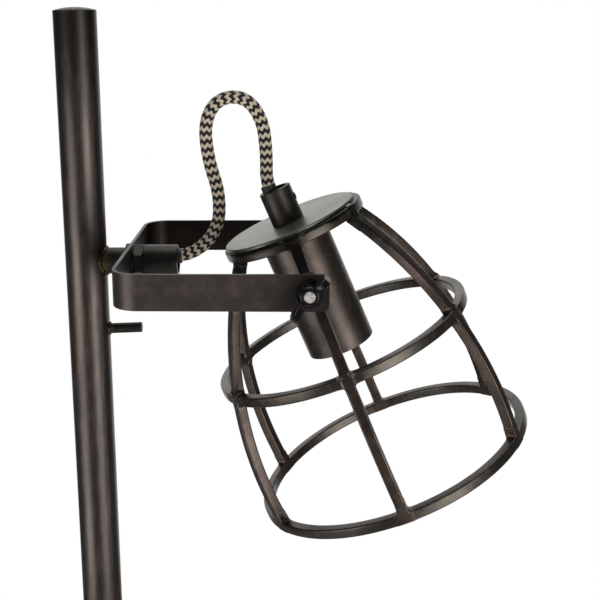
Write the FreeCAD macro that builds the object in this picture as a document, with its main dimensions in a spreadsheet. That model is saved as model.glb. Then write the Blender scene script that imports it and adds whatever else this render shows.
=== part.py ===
import FreeCAD, Part
import math
import os
import Sketcher

# Floor lamp with a tilting wire cage head on a swivelling yoke. Millimetres, +Z up.
# Origin: floor level, on the pole's axis. The yoke reaches out along +X.

VEC = FreeCAD.Vector

SIZES = {
    # whole lamp
    "swivel_height": 1350.0,
    "clearance": 0.05,
    # base
    "pad_height": 8.0,
    "pad_radius": 11.0,
    "pad_circle": 125.0,
    "base_radius": 150.0,
    "base_thickness": 8.0,
    "base_edge": 1.5,
    "bolt_radius": 4.95,
    "bolt_head_radius": 8.8,
    "bolt_head_height": 4.4,
    "bolt_length": 34.0,
    "bolt_key_flats": 6.0,
    "bolt_key_depth": 2.6,
    "base_washer_radius": 11.0,
    "base_washer_thickness": 1.6,
    # pole
    "pole_radius": 12.5,
    "pole_wall": 1.5,
    "pole_joint_height": 750.0,
    "pole_top_above_swivel": 144.6,
    "foot_length": 30.0,
    "coupler_length": 80.0,
    "coupler_wall": 3.0,
    "pole_screw_radius": 2.5,
    "pole_screw_length": 5.0,
    "pole_screw_spacing": 40.0,
    "cap_rim": 1.2,
    "cap_dome": 1.8,
    "cap_spigot": 12.0,
    "gland_height": 62.0,
    "gland_neck_radius": 4.95,
    "gland_bore_radius": 3.1,
    "gland_flange_radius": 6.8,
    "gland_flange": 2.5,
    "gland_neck": 4.0,
    # swivel
    "swivel_tube_radius": 7.9,
    "swivel_tube_bore": 6.2,
    "swivel_tube_start": 8.6,
    "swivel_tube_end": 24.4,
    "swivel_bush_bore": 5.05,
    "weld_width": 1.7,
    "weld_height": 1.3,
    "peg_radius": 3.1,
    "peg_drop": 43.0,
    "peg_end": 32.4,
    "peg_rise": 2.5,
    # yoke
    "yoke_back": 26.5,
    "yoke_end": 142.9,
    "yoke_half_width": 75.0,
    "yoke_height": 20.0,
    "yoke_thickness": 2.0,
    "yoke_bend": 15.0,
    "yoke_corner": 4.0,
    "pivot_reach": 132.5,
    "pivot_hole_radius": 3.07,
    "nipple_radius": 5.0,
    "nipple_bore": 3.75,
    "nipple_start": 6.0,
    "nipple_end": 41.2,
    "clip_start": 6.85,
    "clip_thickness": 1.2,
    "clip_radius": 6.8,
    "clip_groove": 4.5,
    "swivel_washer_radius": 10.3,
    "swivel_washer_thickness": 2.0,
    "lock_washer_radius": 9.6,
    "lock_washer_thickness": 0.8,
    "lock_nut_flats": 17.5,
    "lock_nut_height": 6.0,
    # cord grips
    "grip_radius": 9.5,
    "grip_bore": 7.45,
    "grip_length": 20.4,
    "grip_thread_length": 6.0,
    "grip_round": 0.8,
    "grip_screw_radius": 2.0,
    "grip_screw_inset": 8.2,
    "grip_screw_length": 8.2,
    "grip_bush_radius": 4.45,
    "grip_bush_bore": 3.85,
    "grip_bush_length": 10.6,
    "yoke_bush_out": 2.2,
    "head_bush_out": 3.6,
    "yoke_bush_offset": 2.85,
    "head_bush_offset": 2.7,
    # cords
    "cord_radius": 3.75,
    "lead_radius": 2.25,
    "lead_start_height": 70.0,
    "lead_side": 3.0,
    "lead_wander": 0.5,
    "lead_top_drop": 155.9,
    "lead_lift": 1.2,
    "lead_past_nipple": 4.0,
    "head_lead_side": 1.3,
    # head, heights measured up the head's own axis from the tilt pivot
    "head_tilt": 23.0,
    "holder_offset": 1.2,
    "disc_radius": 40.1,
    "disc_thickness": 2.0,
    "disc_bottom": 24.8,
    "head_nut_flats": 14.0,
    "head_nut_height": 4.0,
    "head_nipple_bottom": 9.0,
    "sleeve_radius": 20.2,
    "sleeve_wall": 1.2,
    "sleeve_drop": 55.0,
    "holder_radius": 18.0,
    "holder_wall": 2.5,
    "holder_cap_top": 19.0,
    "holder_joint": -6.0,
    "holder_floor": -20.0,
    "holder_mouth": -46.0,
    "lamp_thread_radius": 13.2,
    "lamp_shell_wall": 0.5,
    "lamp_shell_length": 20.5,
    "contact_radius": 4.5,
    "contact_height": 1.6,
    # cage
    "bar_size": 6.0,
    "top_ring_radius": 42.8,
    "mid_ring_inset": 0.6,
    "mid_ring_drop": 51.5,
    "bottom_ring_radius": 84.6,
    "bottom_ring_drop": 130.0,
    "rib_arc_radius": 205.0,
    "weld_leg": 2.2,
    # tilt pivots
    "stud_radius": 3.0,
    "stud_end": 83.6,
    "shoulder_radius": 6.0,
    "pivot_washer_radius": 7.5,
    "pivot_washer_thickness": 1.4,
    "wing_hub_base": 5.9,
    "wing_hub_top": 5.1,
    "wing_hub_height": 6.2,
    "wing_thickness": 3.9,
    "wing_reach": 13.8,
    "wing_tip": 16.4,
    "wing_angle": 51.0,
}

DOC = FreeCAD.newDocument("CageFloorLamp")
SHEET = DOC.addObject("Spreadsheet::Sheet", "Sizes")


class Size:
    """A number together with the sheet expression that gives it."""

    def __init__(self, value, text):
        self.value = float(value)
        self.text = text

    def __float__(self):
        return self.value

    def joined(self, sign, other, value):
        return Size(value, "(%s %s %s)" % (self.text, sign, as_size(other).text))

    def __add__(self, other):
        return self.joined("+", other, self.value + float(other))

    def __sub__(self, other):
        return self.joined("-", other, self.value - float(other))

    def __mul__(self, other):
        return self.joined("*", other, self.value * float(other))

    def __truediv__(self, other):
        return self.joined("/", other, self.value / float(other))

    def __neg__(self):
        return Size(-self.value, "(0 - %s)" % self.text)

    def root(self):
        """Square root of the size."""
        return Size(math.sqrt(self.value), "sqrt(%s)" % self.text)


def as_size(value):
    """Wrap a plain number as a Size."""
    if isinstance(value, Size):
        return value
    return Size(value, "%.6f" % value)


def fill_sheet():
    """Write every size to the sheet and give back the named sizes."""
    named = {}
    for row, (name, value) in enumerate(SIZES.items(), start=1):
        SHEET.set("A%d" % row, name)
        SHEET.set("B%d" % row, "%.6g" % value)
        SHEET.setAlias("B%d" % row, name)
        named[name] = Size(value, "Sizes.%s" % name)
    DOC.recompute()
    return named


S = fill_sheet()


def derive(name, size):
    """Add a size that follows from the others to the sheet."""
    row = len(S) + 1
    SHEET.set("A%d" % row, name)
    SHEET.set("B%d" % row, "=" + size.text.replace("Sizes.", ""))
    SHEET.setAlias("B%d" % row, name)
    DOC.recompute()
    S[name] = Size(size.value, "Sizes.%s" % name)


def bind(thing, prop, size):
    """Set a property through the sheet."""
    thing.setExpression(prop, as_size(size).text)


# ---------------------------------------------------------------- sketches

def sketch_on(body, name, role, offset=None):
    """Sketch on one of the body's own planes, moved along its normal by offset."""
    plane = [item for item in body.Origin.OriginFeatures if item.Role == role][0]
    sketch = body.newObject("Sketcher::SketchObject", name)
    sketch.AttachmentSupport = (plane, "")
    sketch.MapMode = "FlatFace"
    if offset is not None:
        shift = VEC(0, 0, float(offset))
        sketch.AttachmentOffset = FreeCAD.Placement(shift, FreeCAD.Rotation())
        bind(sketch, "AttachmentOffset.Base.z", offset)
    return sketch


def hold(sketch, kind, geometry, point, size):
    """Hold a point at a signed distance from the sketch's origin."""
    if abs(float(size)) < 1e-9:
        axis = -2 if kind == "DistanceX" else -1
        sketch.addConstraint(Sketcher.Constraint("PointOnObject", geometry, point, axis))
        return
    rule = Sketcher.Constraint(kind, -1, 1, geometry, point, float(size))
    index = sketch.addConstraint(rule)
    bind(sketch, "Constraints[%d]" % index, size)


def arc_between(start, end, radius, turn):
    """Arc from start to end, turning left (1) or right (-1)."""
    if turn < 0:
        start, end = end, start
    chord = end - start
    half = chord.Length / 2.0
    side = VEC(-chord.y, chord.x, 0).normalize()
    centre = (start + end) * 0.5 + side * math.sqrt(radius * radius - half * half)
    first = math.atan2(start.y - centre.y, start.x - centre.x)
    last = math.atan2(end.y - centre.y, end.x - centre.x)
    while last < first:
        last += 2 * math.pi
    return Part.ArcOfCircle(Part.Circle(centre, VEC(0, 0, 1), radius), first, last)


def outline(sketch, corners, arcs=None):
    """Closed outline through the corners; arcs maps a side to (radius, turn)."""
    arcs = arcs or {}
    points = [VEC(float(x), float(y), 0) for x, y in corners]
    count = len(points)
    sides = []
    for i in range(count):
        start, end = points[i], points[(i + 1) % count]
        if i in arcs:
            radius, turn = arcs[i]
            index = sketch.addGeometry(arc_between(start, end, float(radius), turn))
            sides.append((index, 1 if turn > 0 else 2, 2 if turn > 0 else 1))
        else:
            sides.append((sketch.addGeometry(Part.LineSegment(start, end)), 1, 2))
    for i in range(count):
        here, after = sides[i], sides[(i + 1) % count]
        sketch.addConstraint(Sketcher.Constraint("Coincident", here[0], here[2], after[0], after[1]))
    for (index, first, _), (x, y) in zip(sides, corners):
        hold(sketch, "DistanceX", index, first, x)
        hold(sketch, "DistanceY", index, first, y)
    for i, (radius, _) in arcs.items():
        rule = sketch.addConstraint(Sketcher.Constraint("Radius", sides[i][0], float(radius)))
        bind(sketch, "Constraints[%d]" % rule, radius)


# ------------------------------------------------------------------ bodies

def new_body(name):
    """Body whose label is the part's name."""
    body = DOC.addObject("PartDesign::Body", name)
    body.Label = name
    return body


def revolve(body, name, corners, arcs=None, kind="Revolution"):
    """Revolution or groove of a section about the body's Z axis."""
    section = sketch_on(body, name + "_section", "XZ_Plane")
    outline(section, corners, arcs)
    feature = body.newObject("PartDesign::" + kind, name)
    feature.Profile = section
    feature.ReferenceAxis = (section, ["V_Axis"])
    feature.Angle = 360
    section.Visibility = False
    body.Tip = feature
    return feature


def turned(name, corners, arcs=None):
    """Turned part about its own Z axis."""
    body = new_body(name)
    revolve(body, name + "_turn", corners, arcs)
    return body


def tube(name, outer, inner, low, high):
    """Plain tube or washer about its own Z axis."""
    return turned(name, [(inner, low), (outer, low), (outer, high), (inner, high)])


def pad(body, name, role, corners, start, length, arcs=None, kind="Pad"):
    """Pad of an outline from start over length along the plane's normal."""
    section = sketch_on(body, name + "_section", role, as_size(start))
    outline(section, corners, arcs)
    feature = body.newObject("PartDesign::" + kind, name)
    feature.Profile = section
    feature.Length = float(length)
    bind(feature, "Length", length)
    body.Tip = feature
    return feature


def drill(body, name, radius, length, base, rotation):
    """Round hole cut into a body; base and rotation place its axis."""
    hole = body.newObject("PartDesign::SubtractiveCylinder", name)
    hole.Placement = FreeCAD.Placement(VEC(*[float(v) for v in base]), rotation)
    bind(hole, "Radius", radius)
    bind(hole, "Height", length)
    for axis, value in zip("xyz", base):
        bind(hole, "Placement.Base.%s" % axis, value)
    body.Tip = hole
    return hole


def cylinder(name, radius, height, placement):
    """Plain cylinder primitive."""
    item = DOC.addObject("Part::Cylinder", name)
    bind(item, "Radius", radius)
    bind(item, "Height", height)
    item.Placement = placement
    return item


def boolean(kind, name, base, tool):
    """Cut or common of two document objects."""
    item = DOC.addObject("Part::" + kind, name)
    item.Label = name
    item.Base = base
    item.Tool = tool
    return item


def hexagon(flats):
    """Corners of a hexagon with a corner on the X axis."""
    across = flats / math.sqrt(3.0)
    turns = [math.radians(60 * k) for k in range(6)]
    return [(across * round(math.cos(t), 9), across * round(math.sin(t), 9)) for t in turns]


def hex_nut(name, flats, height, bore):
    """Hexagon nut with both faces chamfered."""
    body = new_body(name)
    pad(body, name + "_blank", "XY_Plane", hexagon(flats), 0, height)
    inner, outer, drop = flats * 0.48, flats * 0.62, flats * 0.075
    top = [(inner, height), (outer, height), (outer, height - drop)]
    low = [(inner, 0), (outer, drop), (outer, 0)]
    revolve(body, name + "_top_chamfer", top, kind="Groove")
    revolve(body, name + "_low_chamfer", low, kind="Groove")
    axis = (0, 0, as_size(-1))
    drill(body, name + "_bore", bore, height + 2, axis, FreeCAD.Rotation())
    return body


# ------------------------------------------------------------------ frames

ALONG_X = FreeCAD.Rotation(VEC(0, 1, 0), 90)
ALONG_MINUS_X = FreeCAD.Rotation(VEC(0, 1, 0), -90)
ALONG_Y = FreeCAD.Rotation(VEC(1, 0, 0), -90)
PIVOT = VEC(float(S["pivot_reach"]), 0, float(S["swivel_height"]))
HEAD = FreeCAD.Placement(PIVOT, FreeCAD.Rotation(VEC(0, 1, 0), -float(S["head_tilt"])))


def on_swivel(x=0.0, z=0.0):
    """Placement of a turned part that lies along the swivel axis."""
    return FreeCAD.Placement(VEC(float(x), 0, float(S["swivel_height"]) + float(z)), ALONG_X)


def in_head(x=0.0, y=0.0, z=0.0, rotation=FreeCAD.Rotation()):
    """Placement given in the head's own frame."""
    return HEAD.multiply(FreeCAD.Placement(VEC(float(x), float(y), float(z)), rotation))


# ------------------------------------------------------------------- cords

def cord(name, route, radius):
    """Round cord: straight runs joined by tangent arcs, as one solid."""
    points = [VEC(*p) for p in route]
    runs = [(b - a).Length for a, b in zip(points, points[1:])]
    edges = []
    bends = []
    here = points[0]
    for i in range(1, len(points) - 1):
        before = (points[i] - points[i - 1]).normalize()
        after = (points[i + 1] - points[i]).normalize()
        turn = before.getAngle(after)
        reach = 0.45 * min(runs[i - 1], runs[i])
        start = points[i] - before * reach
        end = points[i] + after * reach
        bend = reach / math.tan(turn / 2.0)
        bends.append(bend)
        inward = (after - before).normalize()
        centre_gap = bend / math.cos(turn / 2.0)
        middle = points[i] + inward * (centre_gap - bend)
        edges.append(Part.LineSegment(here, start).toShape())
        edges.append(Part.Arc(start, middle, end).toShape())
        here = end
    edges.append(Part.LineSegment(here, points[-1]).toShape())
    spine = Part.Wire(edges)
    heading = (points[1] - points[0]).normalize()
    rim = Part.Wire([Part.Circle(points[0], heading, float(radius)).toShape()])
    solid = spine.makePipeShell([rim], True, False)
    expected = math.pi * float(radius) ** 2 * spine.Length
    print("%s length %.1f mm, tightest bend %.1f mm, volume ratio %.4f, runs %.1f to %.1f mm" % (
        name, spine.Length, min(bends), solid.Volume / expected, min(runs), max(runs)))
    item = DOC.addObject("Part::Feature", name)
    item.Label = name
    item.Shape = solid
    return item


NODES = {}


def keep(name, item, placement=None):
    """Place a finished part and list it for export."""
    if placement is not None:
        item.Placement = placement
    item.Label = name
    NODES[name] = item
    return item


# -------------------------------------------------------------------- base

def build_base():
    """Round base plate with its feet, bolt and washer."""
    low = S["pad_height"]
    high = low + S["base_thickness"]
    edge = S["base_edge"]
    rim = S["base_radius"]
    hole = S["bolt_radius"] + 0.35
    section = [(hole, low), (rim - edge, low), (rim, low + edge), (rim, high - edge),
               (rim - edge, high), (hole, high)]
    keep("base_plate", turned("base_plate", section))

    pads = []
    for k in range(4):
        angle = math.radians(45 + 90 * k)
        spot = VEC(math.cos(angle), math.sin(angle), 0) * float(S["pad_circle"])
        pads.append(cylinder("foot_pad_%d" % (k + 1), S["pad_radius"], S["pad_height"],
                             FreeCAD.Placement(spot, FreeCAD.Rotation())))
    group = DOC.addObject("Part::Compound", "foot_pads")
    group.Links = pads
    keep("foot_pads", group)

    under = low - S["base_washer_thickness"]
    keep("base_washer", tube("base_washer", S["base_washer_radius"], hole, under, low))

    head = under - S["bolt_head_height"]
    shank = S["bolt_radius"]
    wide = S["bolt_head_radius"]
    tip = under + S["bolt_length"]
    section = [(0, head), (wide - 1.2, head), (wide, head + 1.2), (wide, under), (shank, under),
               (shank, tip - 1), (shank - 1, tip), (0, tip)]
    bolt = turned("base_bolt", section)
    key = pad(bolt, "bolt_key", "XY_Plane", hexagon(S["bolt_key_flats"]), head,
              S["bolt_key_depth"], kind="Pocket")
    key.Reversed = True
    keep("base_bolt", bolt)


# -------------------------------------------------------------------- pole

def build_pole():
    """Two-piece pole with its foot, coupler, cap and cord gland."""
    floor = S["pad_height"] + S["base_thickness"]
    outer = S["pole_radius"]
    inner = outer - S["pole_wall"]
    joint = S["pole_joint_height"]
    top = S["swivel_height"] + S["pole_top_above_swivel"]
    snug = inner - S["clearance"]

    foot = tube("pole_foot", snug, S["bolt_radius"] + S["clearance"], floor, floor + S["foot_length"])
    keep("pole_foot", foot)

    lower = tube("pole_lower", outer, inner, floor, joint)
    drill(lower, "gland_hole", S["gland_neck_radius"] + S["clearance"], outer + 2,
          (-outer - 1, 0, S["gland_height"]), ALONG_X)
    spacing = S["pole_screw_spacing"] / 2
    screw_hole = S["pole_screw_radius"] + S["clearance"]
    drill(lower, "lower_screw_hole", screw_hole, outer, (-outer - 1, 0, joint - spacing), ALONG_X)
    keep("pole_lower", lower)

    upper = tube("pole_upper", outer, inner, joint, top)
    drill(upper, "upper_screw_hole", screw_hole, outer, (-outer - 1, 0, joint + spacing), ALONG_X)
    drill(upper, "swivel_hole", S["swivel_tube_radius"] + S["clearance"], outer,
          (outer / 2, 0, S["swivel_height"]), ALONG_X)
    keep("pole_upper", upper)

    half = S["coupler_length"] / 2
    coupler = tube("pole_coupler", snug, snug - S["coupler_wall"], joint - half, joint + half)
    for name, shift in (("coupler_low_hole", -spacing), ("coupler_high_hole", spacing)):
        drill(coupler, name, screw_hole, outer, (-outer - 1, 0, joint + shift), ALONG_X)
    keep("pole_coupler", coupler)

    screws = []
    start = -(outer - 0.3)
    for name, shift in (("pole_screw_low", -spacing), ("pole_screw_high", spacing)):
        spot = VEC(float(start), 0, float(joint + shift))
        screws.append(cylinder(name, S["pole_screw_radius"], S["pole_screw_length"],
                               FreeCAD.Placement(spot, ALONG_X)))
    group = DOC.addObject("Part::Compound", "pole_screws")
    group.Links = screws
    keep("pole_screws", group)

    rim = top + S["cap_rim"]
    dome = S["cap_dome"]
    dome_radius = (outer * outer + dome * dome) / (dome * 2)
    section = [(0, top - S["cap_spigot"]), (snug - 1, top - S["cap_spigot"]),
               (snug, top - S["cap_spigot"] + 1), (snug, top), (outer, top), (outer, rim),
               (0, rim + dome)]
    keep("pole_cap", turned("pole_cap", section, {5: (dome_radius, 1)}))

    bore = S["gland_bore_radius"]
    neck = S["gland_neck"]
    wide = S["gland_flange_radius"]
    flange = S["gland_flange"]
    section = [(bore, -neck), (S["gland_neck_radius"], -neck), (S["gland_neck_radius"], 0), (wide, 0),
               (wide, flange - 1), (wide - 1, flange), (bore, flange)]
    spot = VEC(-float(outer) - 0.1, 0, float(S["gland_height"]))
    keep("base_gland", turned("base_gland", section), FreeCAD.Placement(spot, ALONG_MINUS_X))


def weld_band(name, outer_band, pole_band, pole, part):
    """Weld bead where a round part meets the pole."""
    blank = boolean("Common", name + "_blank", outer_band, pole_band)
    trimmed = boolean("Cut", name + "_trim", blank, pole)
    return keep(name, boolean("Cut", name, trimmed, part))


def build_swivel():
    """Swivel tube, its liner, the stop peg and their welds."""
    start = S["swivel_tube_start"]
    end = S["swivel_tube_end"]
    wall = S["swivel_tube_radius"]
    bore = S["swivel_tube_bore"]
    edge = 0.4
    section = [(bore, start), (wall, start), (wall, end - edge), (wall - edge, end), (bore, end)]
    keep("swivel_tube", turned("swivel_tube", section), on_swivel())
    keep("swivel_bush", tube("swivel_bush", bore - S["clearance"], S["swivel_bush_bore"],
                             start + 0.2, end), on_swivel())

    pole_radius = S["pole_radius"]
    height = S["swivel_height"]
    low = FreeCAD.Placement(VEC(0, 0, float(height - S["peg_drop"] * 2)), FreeCAD.Rotation())
    reach = S["peg_drop"] * 3
    band = cylinder("weld_pole_band", pole_radius + S["weld_height"], reach, low)
    pole = cylinder("weld_pole", pole_radius, reach, low)
    tube_band = cylinder("swivel_weld_band", wall + S["weld_width"], pole_radius + 4, on_swivel())
    tube_core = cylinder("swivel_weld_core", wall, pole_radius + 6, on_swivel())
    weld_band("swivel_weld", tube_band, band, pole, tube_core)

    tilt = FreeCAD.Rotation(VEC(0, 1, 0), 90 - float(S["peg_rise"]))
    root = VEC(0, 0, float(height) - float(S["peg_drop"]))
    spot = FreeCAD.Placement(root, tilt)
    reach = S["peg_end"]
    edge = 0.5
    thin = S["peg_radius"]
    pin = turned("peg_pin", [(0, 4), (thin, 4), (thin, reach - edge), (thin - edge, reach), (0, reach)])
    pin.Placement = spot
    keep("stop_peg", boolean("Cut", "stop_peg", pin, pole))
    peg_band = cylinder("peg_weld_band", thin + S["weld_width"] * 0.8, pole_radius + 4, spot)
    peg_core = cylinder("peg_weld_core", thin, pole_radius + 6, spot)
    weld_band("peg_weld", peg_band, band, pole, peg_core)


def build_pole_lead():
    """Inner lead, held by the pole and turned out through the swivel."""
    height = SIZES["swivel_height"]
    start = SIZES["lead_start_height"]
    side = SIZES["lead_side"]
    drop = SIZES["lead_top_drop"]
    steps = 18
    step = (height - drop - start) / steps
    route = []
    for k in range(steps + 1):
        wander = SIZES["lead_wander"] * (1 if k % 2 == 0 else -1)
        route.append((wander - side, 0.0, start + step * k))
    level = height + SIZES["lead_lift"]
    route += [(-1.53 * side, 0.0, height - 0.6 * drop), (-2.33 * side, 0.0, height - 0.2 * drop),
              (-2.67 * side, 0.0, level), (SIZES["nipple_end"] + SIZES["lead_past_nipple"], 0.0, level)]
    keep("pole_lead", cord("pole_lead", route, S["lead_radius"]))


# -------------------------------------------------------------------- yoke

def build_yoke_strap():
    """Bent flat strap that carries the head."""
    back = S["yoke_back"]
    end = S["yoke_end"]
    wide = S["yoke_half_width"]
    thick = S["yoke_thickness"]
    bend = S["yoke_bend"]
    tall = S["yoke_height"]
    turn = back + bend
    inner = wide - thick
    corner = wide - bend
    section = [(end, -wide), (turn, -wide), (back, -corner), (back, corner), (turn, wide), (end, wide),
               (end, inner), (turn, inner), (back + thick, corner), (back + thick, -corner),
               (turn, -inner), (end, -inner)]
    arcs = {1: (bend, -1), 3: (bend, -1), 7: (bend - thick, 1), 9: (bend - thick, 1)}
    body = new_body("yoke_strap")
    strap = pad(body, "yoke_bar", "XY_Plane", section, -tall / 2, tall, arcs)
    DOC.recompute()
    names = []
    for index, edge in enumerate(strap.Shape.Edges, start=1):
        middle = edge.CenterOfMass
        if abs(middle.x - float(end)) < 1e-3 and abs(abs(middle.z) - float(tall) / 2) < 1e-3:
            names.append("Edge%d" % index)
    rounding = body.newObject("PartDesign::Fillet", "yoke_corners")
    rounding.Base = (strap, names)
    rounding.Radius = float(S["yoke_corner"])
    bind(rounding, "Radius", S["yoke_corner"])
    body.Tip = rounding
    drill(body, "pivot_holes", S["pivot_hole_radius"], (wide + 1) * 2,
          (S["pivot_reach"], -wide - 1, 0), ALONG_Y)
    drill(body, "nipple_hole", S["nipple_radius"] + S["clearance"], thick + 2,
          (back - 1, 0, 0), ALONG_X)
    spot = FreeCAD.Placement(VEC(0, 0, float(S["swivel_height"])), FreeCAD.Rotation())
    keep("yoke_strap", body, spot)


def build_swivel_fittings():
    """Threaded nipple with its clip, washers and lock nut."""
    start = S["nipple_start"]
    end = S["nipple_end"]
    wall = S["nipple_radius"]
    bore = S["nipple_bore"]
    groove = S["clip_groove"]
    clip = S["clip_start"]
    beyond = clip + S["clip_thickness"] + 0.1
    section = [(bore, start), (wall, start), (wall, clip - 0.05), (groove, clip - 0.05),
               (groove, beyond - 0.05), (wall, beyond - 0.05), (wall, end), (bore, end)]
    keep("swivel_nipple", turned("swivel_nipple", section), on_swivel())

    ring = tube("swivel_clip", S["clip_radius"], groove + S["clearance"], 0, S["clip_thickness"])
    gap = [(0, -2.2), (-9, -3.0), (-9, 3.0), (0, 2.2)]
    opening = pad(ring, "clip_gap", "XY_Plane", gap, -1, S["clip_thickness"] + 2, kind="Pocket")
    opening.Reversed = True
    keep("swivel_clip", ring, on_swivel(clip))

    hole = wall + S["clearance"]
    back = S["yoke_back"]
    front = back + S["yoke_thickness"]
    keep("swivel_washer", tube("swivel_washer", S["swivel_washer_radius"], hole,
                               back - S["swivel_washer_thickness"] + S["clearance"], back), on_swivel())
    nut = front + S["lock_washer_thickness"]
    keep("lock_washer", tube("lock_washer", S["lock_washer_radius"], hole, front, nut), on_swivel())
    blank = hex_nut("lock_nut", S["lock_nut_flats"], S["lock_nut_height"], hole)
    keep("lock_nut", blank, on_swivel(nut))
    return nut + S["lock_nut_height"]


def build_grip(prefix, frame):
    """Cord grip barrel, its bush and its grub screw, in the given frame."""
    long = S["grip_length"]
    wide = S["grip_radius"]
    bore = S["grip_bore"]
    thread = S["grip_thread_length"]
    hole = S["nipple_radius"] + S["clearance"]
    edge = S["grip_round"]
    section = [(hole, 0), (wide - 0.3, 0), (wide, 0.3), (wide, long - edge), (wide - edge, long),
               (bore, long), (bore, thread), (hole, thread)]
    barrel = turned(prefix + "_grip", section, {3: (edge, 1)})
    drill(barrel, prefix + "_screw_hole", S["grip_screw_radius"] + S["clearance"], wide,
          (wide / 2, 0, long - S["grip_screw_inset"]), ALONG_X)
    keep(prefix + "_grip", barrel, frame)

    offset = SIZES[prefix + "_bush_offset"]
    low = long + S[prefix + "_bush_out"] - S["grip_bush_length"]
    bush = turned(prefix + "_grip_bush", [
        (S["grip_bush_bore"], 0), (S["grip_bush_radius"], 0),
        (S["grip_bush_radius"], S["grip_bush_length"] - 0.3),
        (S["grip_bush_radius"] - 0.3, S["grip_bush_length"]), (S["grip_bush_bore"], S["grip_bush_length"])])
    shift = FreeCAD.Placement(VEC(-offset, 0, float(low)), FreeCAD.Rotation())
    keep(prefix + "_grip_bush", bush, frame.multiply(shift))

    size = S["grip_screw_radius"]
    length = S["grip_screw_length"]
    section = [(0, 0), (size - 0.4, 0), (size, 0.4), (size, length - 0.3), (size - 0.3, length),
               (0, length)]
    screw = turned(prefix + "_grip_screw", section)
    key = pad(screw, prefix + "_screw_key", "XY_Plane", hexagon(as_size(2.0)), length - 1.6, 2.0,
              kind="Pocket")
    key.Reversed = True
    inner = -offset + SIZES["grip_bush_radius"] + SIZES["clearance"]
    spot = FreeCAD.Placement(VEC(inner, 0, float(long - S["grip_screw_inset"])), ALONG_X)
    keep(prefix + "_grip_screw", screw, frame.multiply(spot))


def build_link_cord():
    """Textile cord looping from the yoke's grip to the head's grip."""
    height = SIZES["swivel_height"]
    lean = math.radians(SIZES["head_tilt"])
    side = -SIZES["holder_offset"] - SIZES["head_bush_offset"]

    def on_head_bush(up):
        """Point on the head bush's axis, up the head from the pivot."""
        return (SIZES["pivot_reach"] + side * math.cos(lean) - up * math.sin(lean), 0.0,
                height + side * math.sin(lean) + up * math.cos(lean))

    rise = height + SIZES["yoke_bush_offset"]
    route = [(52.0, 0.0, rise), (64.0, 0.0, rise), (79.8, 0.0, height + 18.4),
             (81.1, 0.0, height + 39.8), (74.6, 0.0, height + 60.0), (72.6, 0.0, height + 82.0),
             (80.6, 0.0, height + 95.6), (96.6, 0.0, height + 96.6), (106.6, 0.0, height + 82.9),
             (108.6, 0.0, height + 62.0), on_head_bush(53.0), on_head_bush(44.0)]
    for point in route:
        print("link point %.2f %.2f %.2f" % point)
    keep("link_cord", cord("link_cord", route, S["cord_radius"]))


# -------------------------------------------------------------------- head

def build_head_top():
    """Head disc, nipple, nut, inner lead and lampholder sleeve."""
    side = -SIZES["holder_offset"]
    low = S["disc_bottom"]
    high = low + S["disc_thickness"]
    hole = S["nipple_radius"] + S["clearance"]
    rim = S["disc_radius"]
    section = [(hole, low), (rim, low), (rim, high - 0.4), (rim - 0.4, high), (hole, high)]
    keep("head_disc", turned("head_disc", section), in_head(side))

    nipple_top = high + S["grip_thread_length"]
    keep("head_nipple", tube("head_nipple", S["nipple_radius"], S["nipple_bore"],
                             S["head_nipple_bottom"], nipple_top), in_head(side))
    under = low - S["head_nut_height"]
    keep("head_nut", hex_nut("head_nut", S["head_nut_flats"], S["head_nut_height"], hole),
         in_head(side, 0, under))

    thin = S["lead_radius"]
    lead = turned("head_lead", [(0, -2), (thin, -2), (thin, high + 12.3), (0, high + 12.3)])
    keep("head_lead", lead, in_head(side - float(S["head_lead_side"])))

    wall = S["sleeve_radius"]
    inner = wall - S["sleeve_wall"]
    keep("holder_sleeve", tube("holder_sleeve", wall, inner, -S["sleeve_drop"], low), in_head(side))
    return in_head(side, 0, high)


def build_lampholder():
    """Lampholder inside the sleeve: cap, body, threaded shell and contact."""
    side = -SIZES["holder_offset"]
    wide = S["holder_radius"]
    wall = S["holder_wall"]
    joint = S["holder_joint"]
    top = S["holder_cap_top"]
    bore = S["nipple_radius"] + S["clearance"]
    neck = bore + 3
    section = [(wide - wall, joint), (wide, joint), (wide, joint + 8), (neck, top), (bore, top),
               (bore, top - 10), (neck, top - 10), (wide - wall, joint + 7)]
    keep("holder_cap", turned("holder_cap", section), in_head(side))

    mouth = S["holder_mouth"]
    floor = S["holder_floor"]
    shell = S["lamp_thread_radius"] + S["lamp_shell_wall"]
    cup = shell + S["clearance"]
    section = [(cup, mouth), (wide - 1, mouth), (wide, mouth + 1), (wide, joint), (wide - wall, joint),
               (wide - wall, floor + 4), (0, floor + 4), (0, floor), (cup, floor)]
    keep("holder_body", turned("holder_body", section), in_head(side))

    start = mouth + 3
    keep("lamp_shell", tube("lamp_shell", shell, S["lamp_thread_radius"], start,
                            start + S["lamp_shell_length"]), in_head(side))
    wide = S["contact_radius"]
    section = [(0, floor - S["contact_height"]), (wide - 2, floor - S["contact_height"]),
               (wide, floor - 0.6), (wide, floor), (0, floor)]
    keep("lamp_contact", turned("lamp_contact", section), in_head(side))


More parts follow.
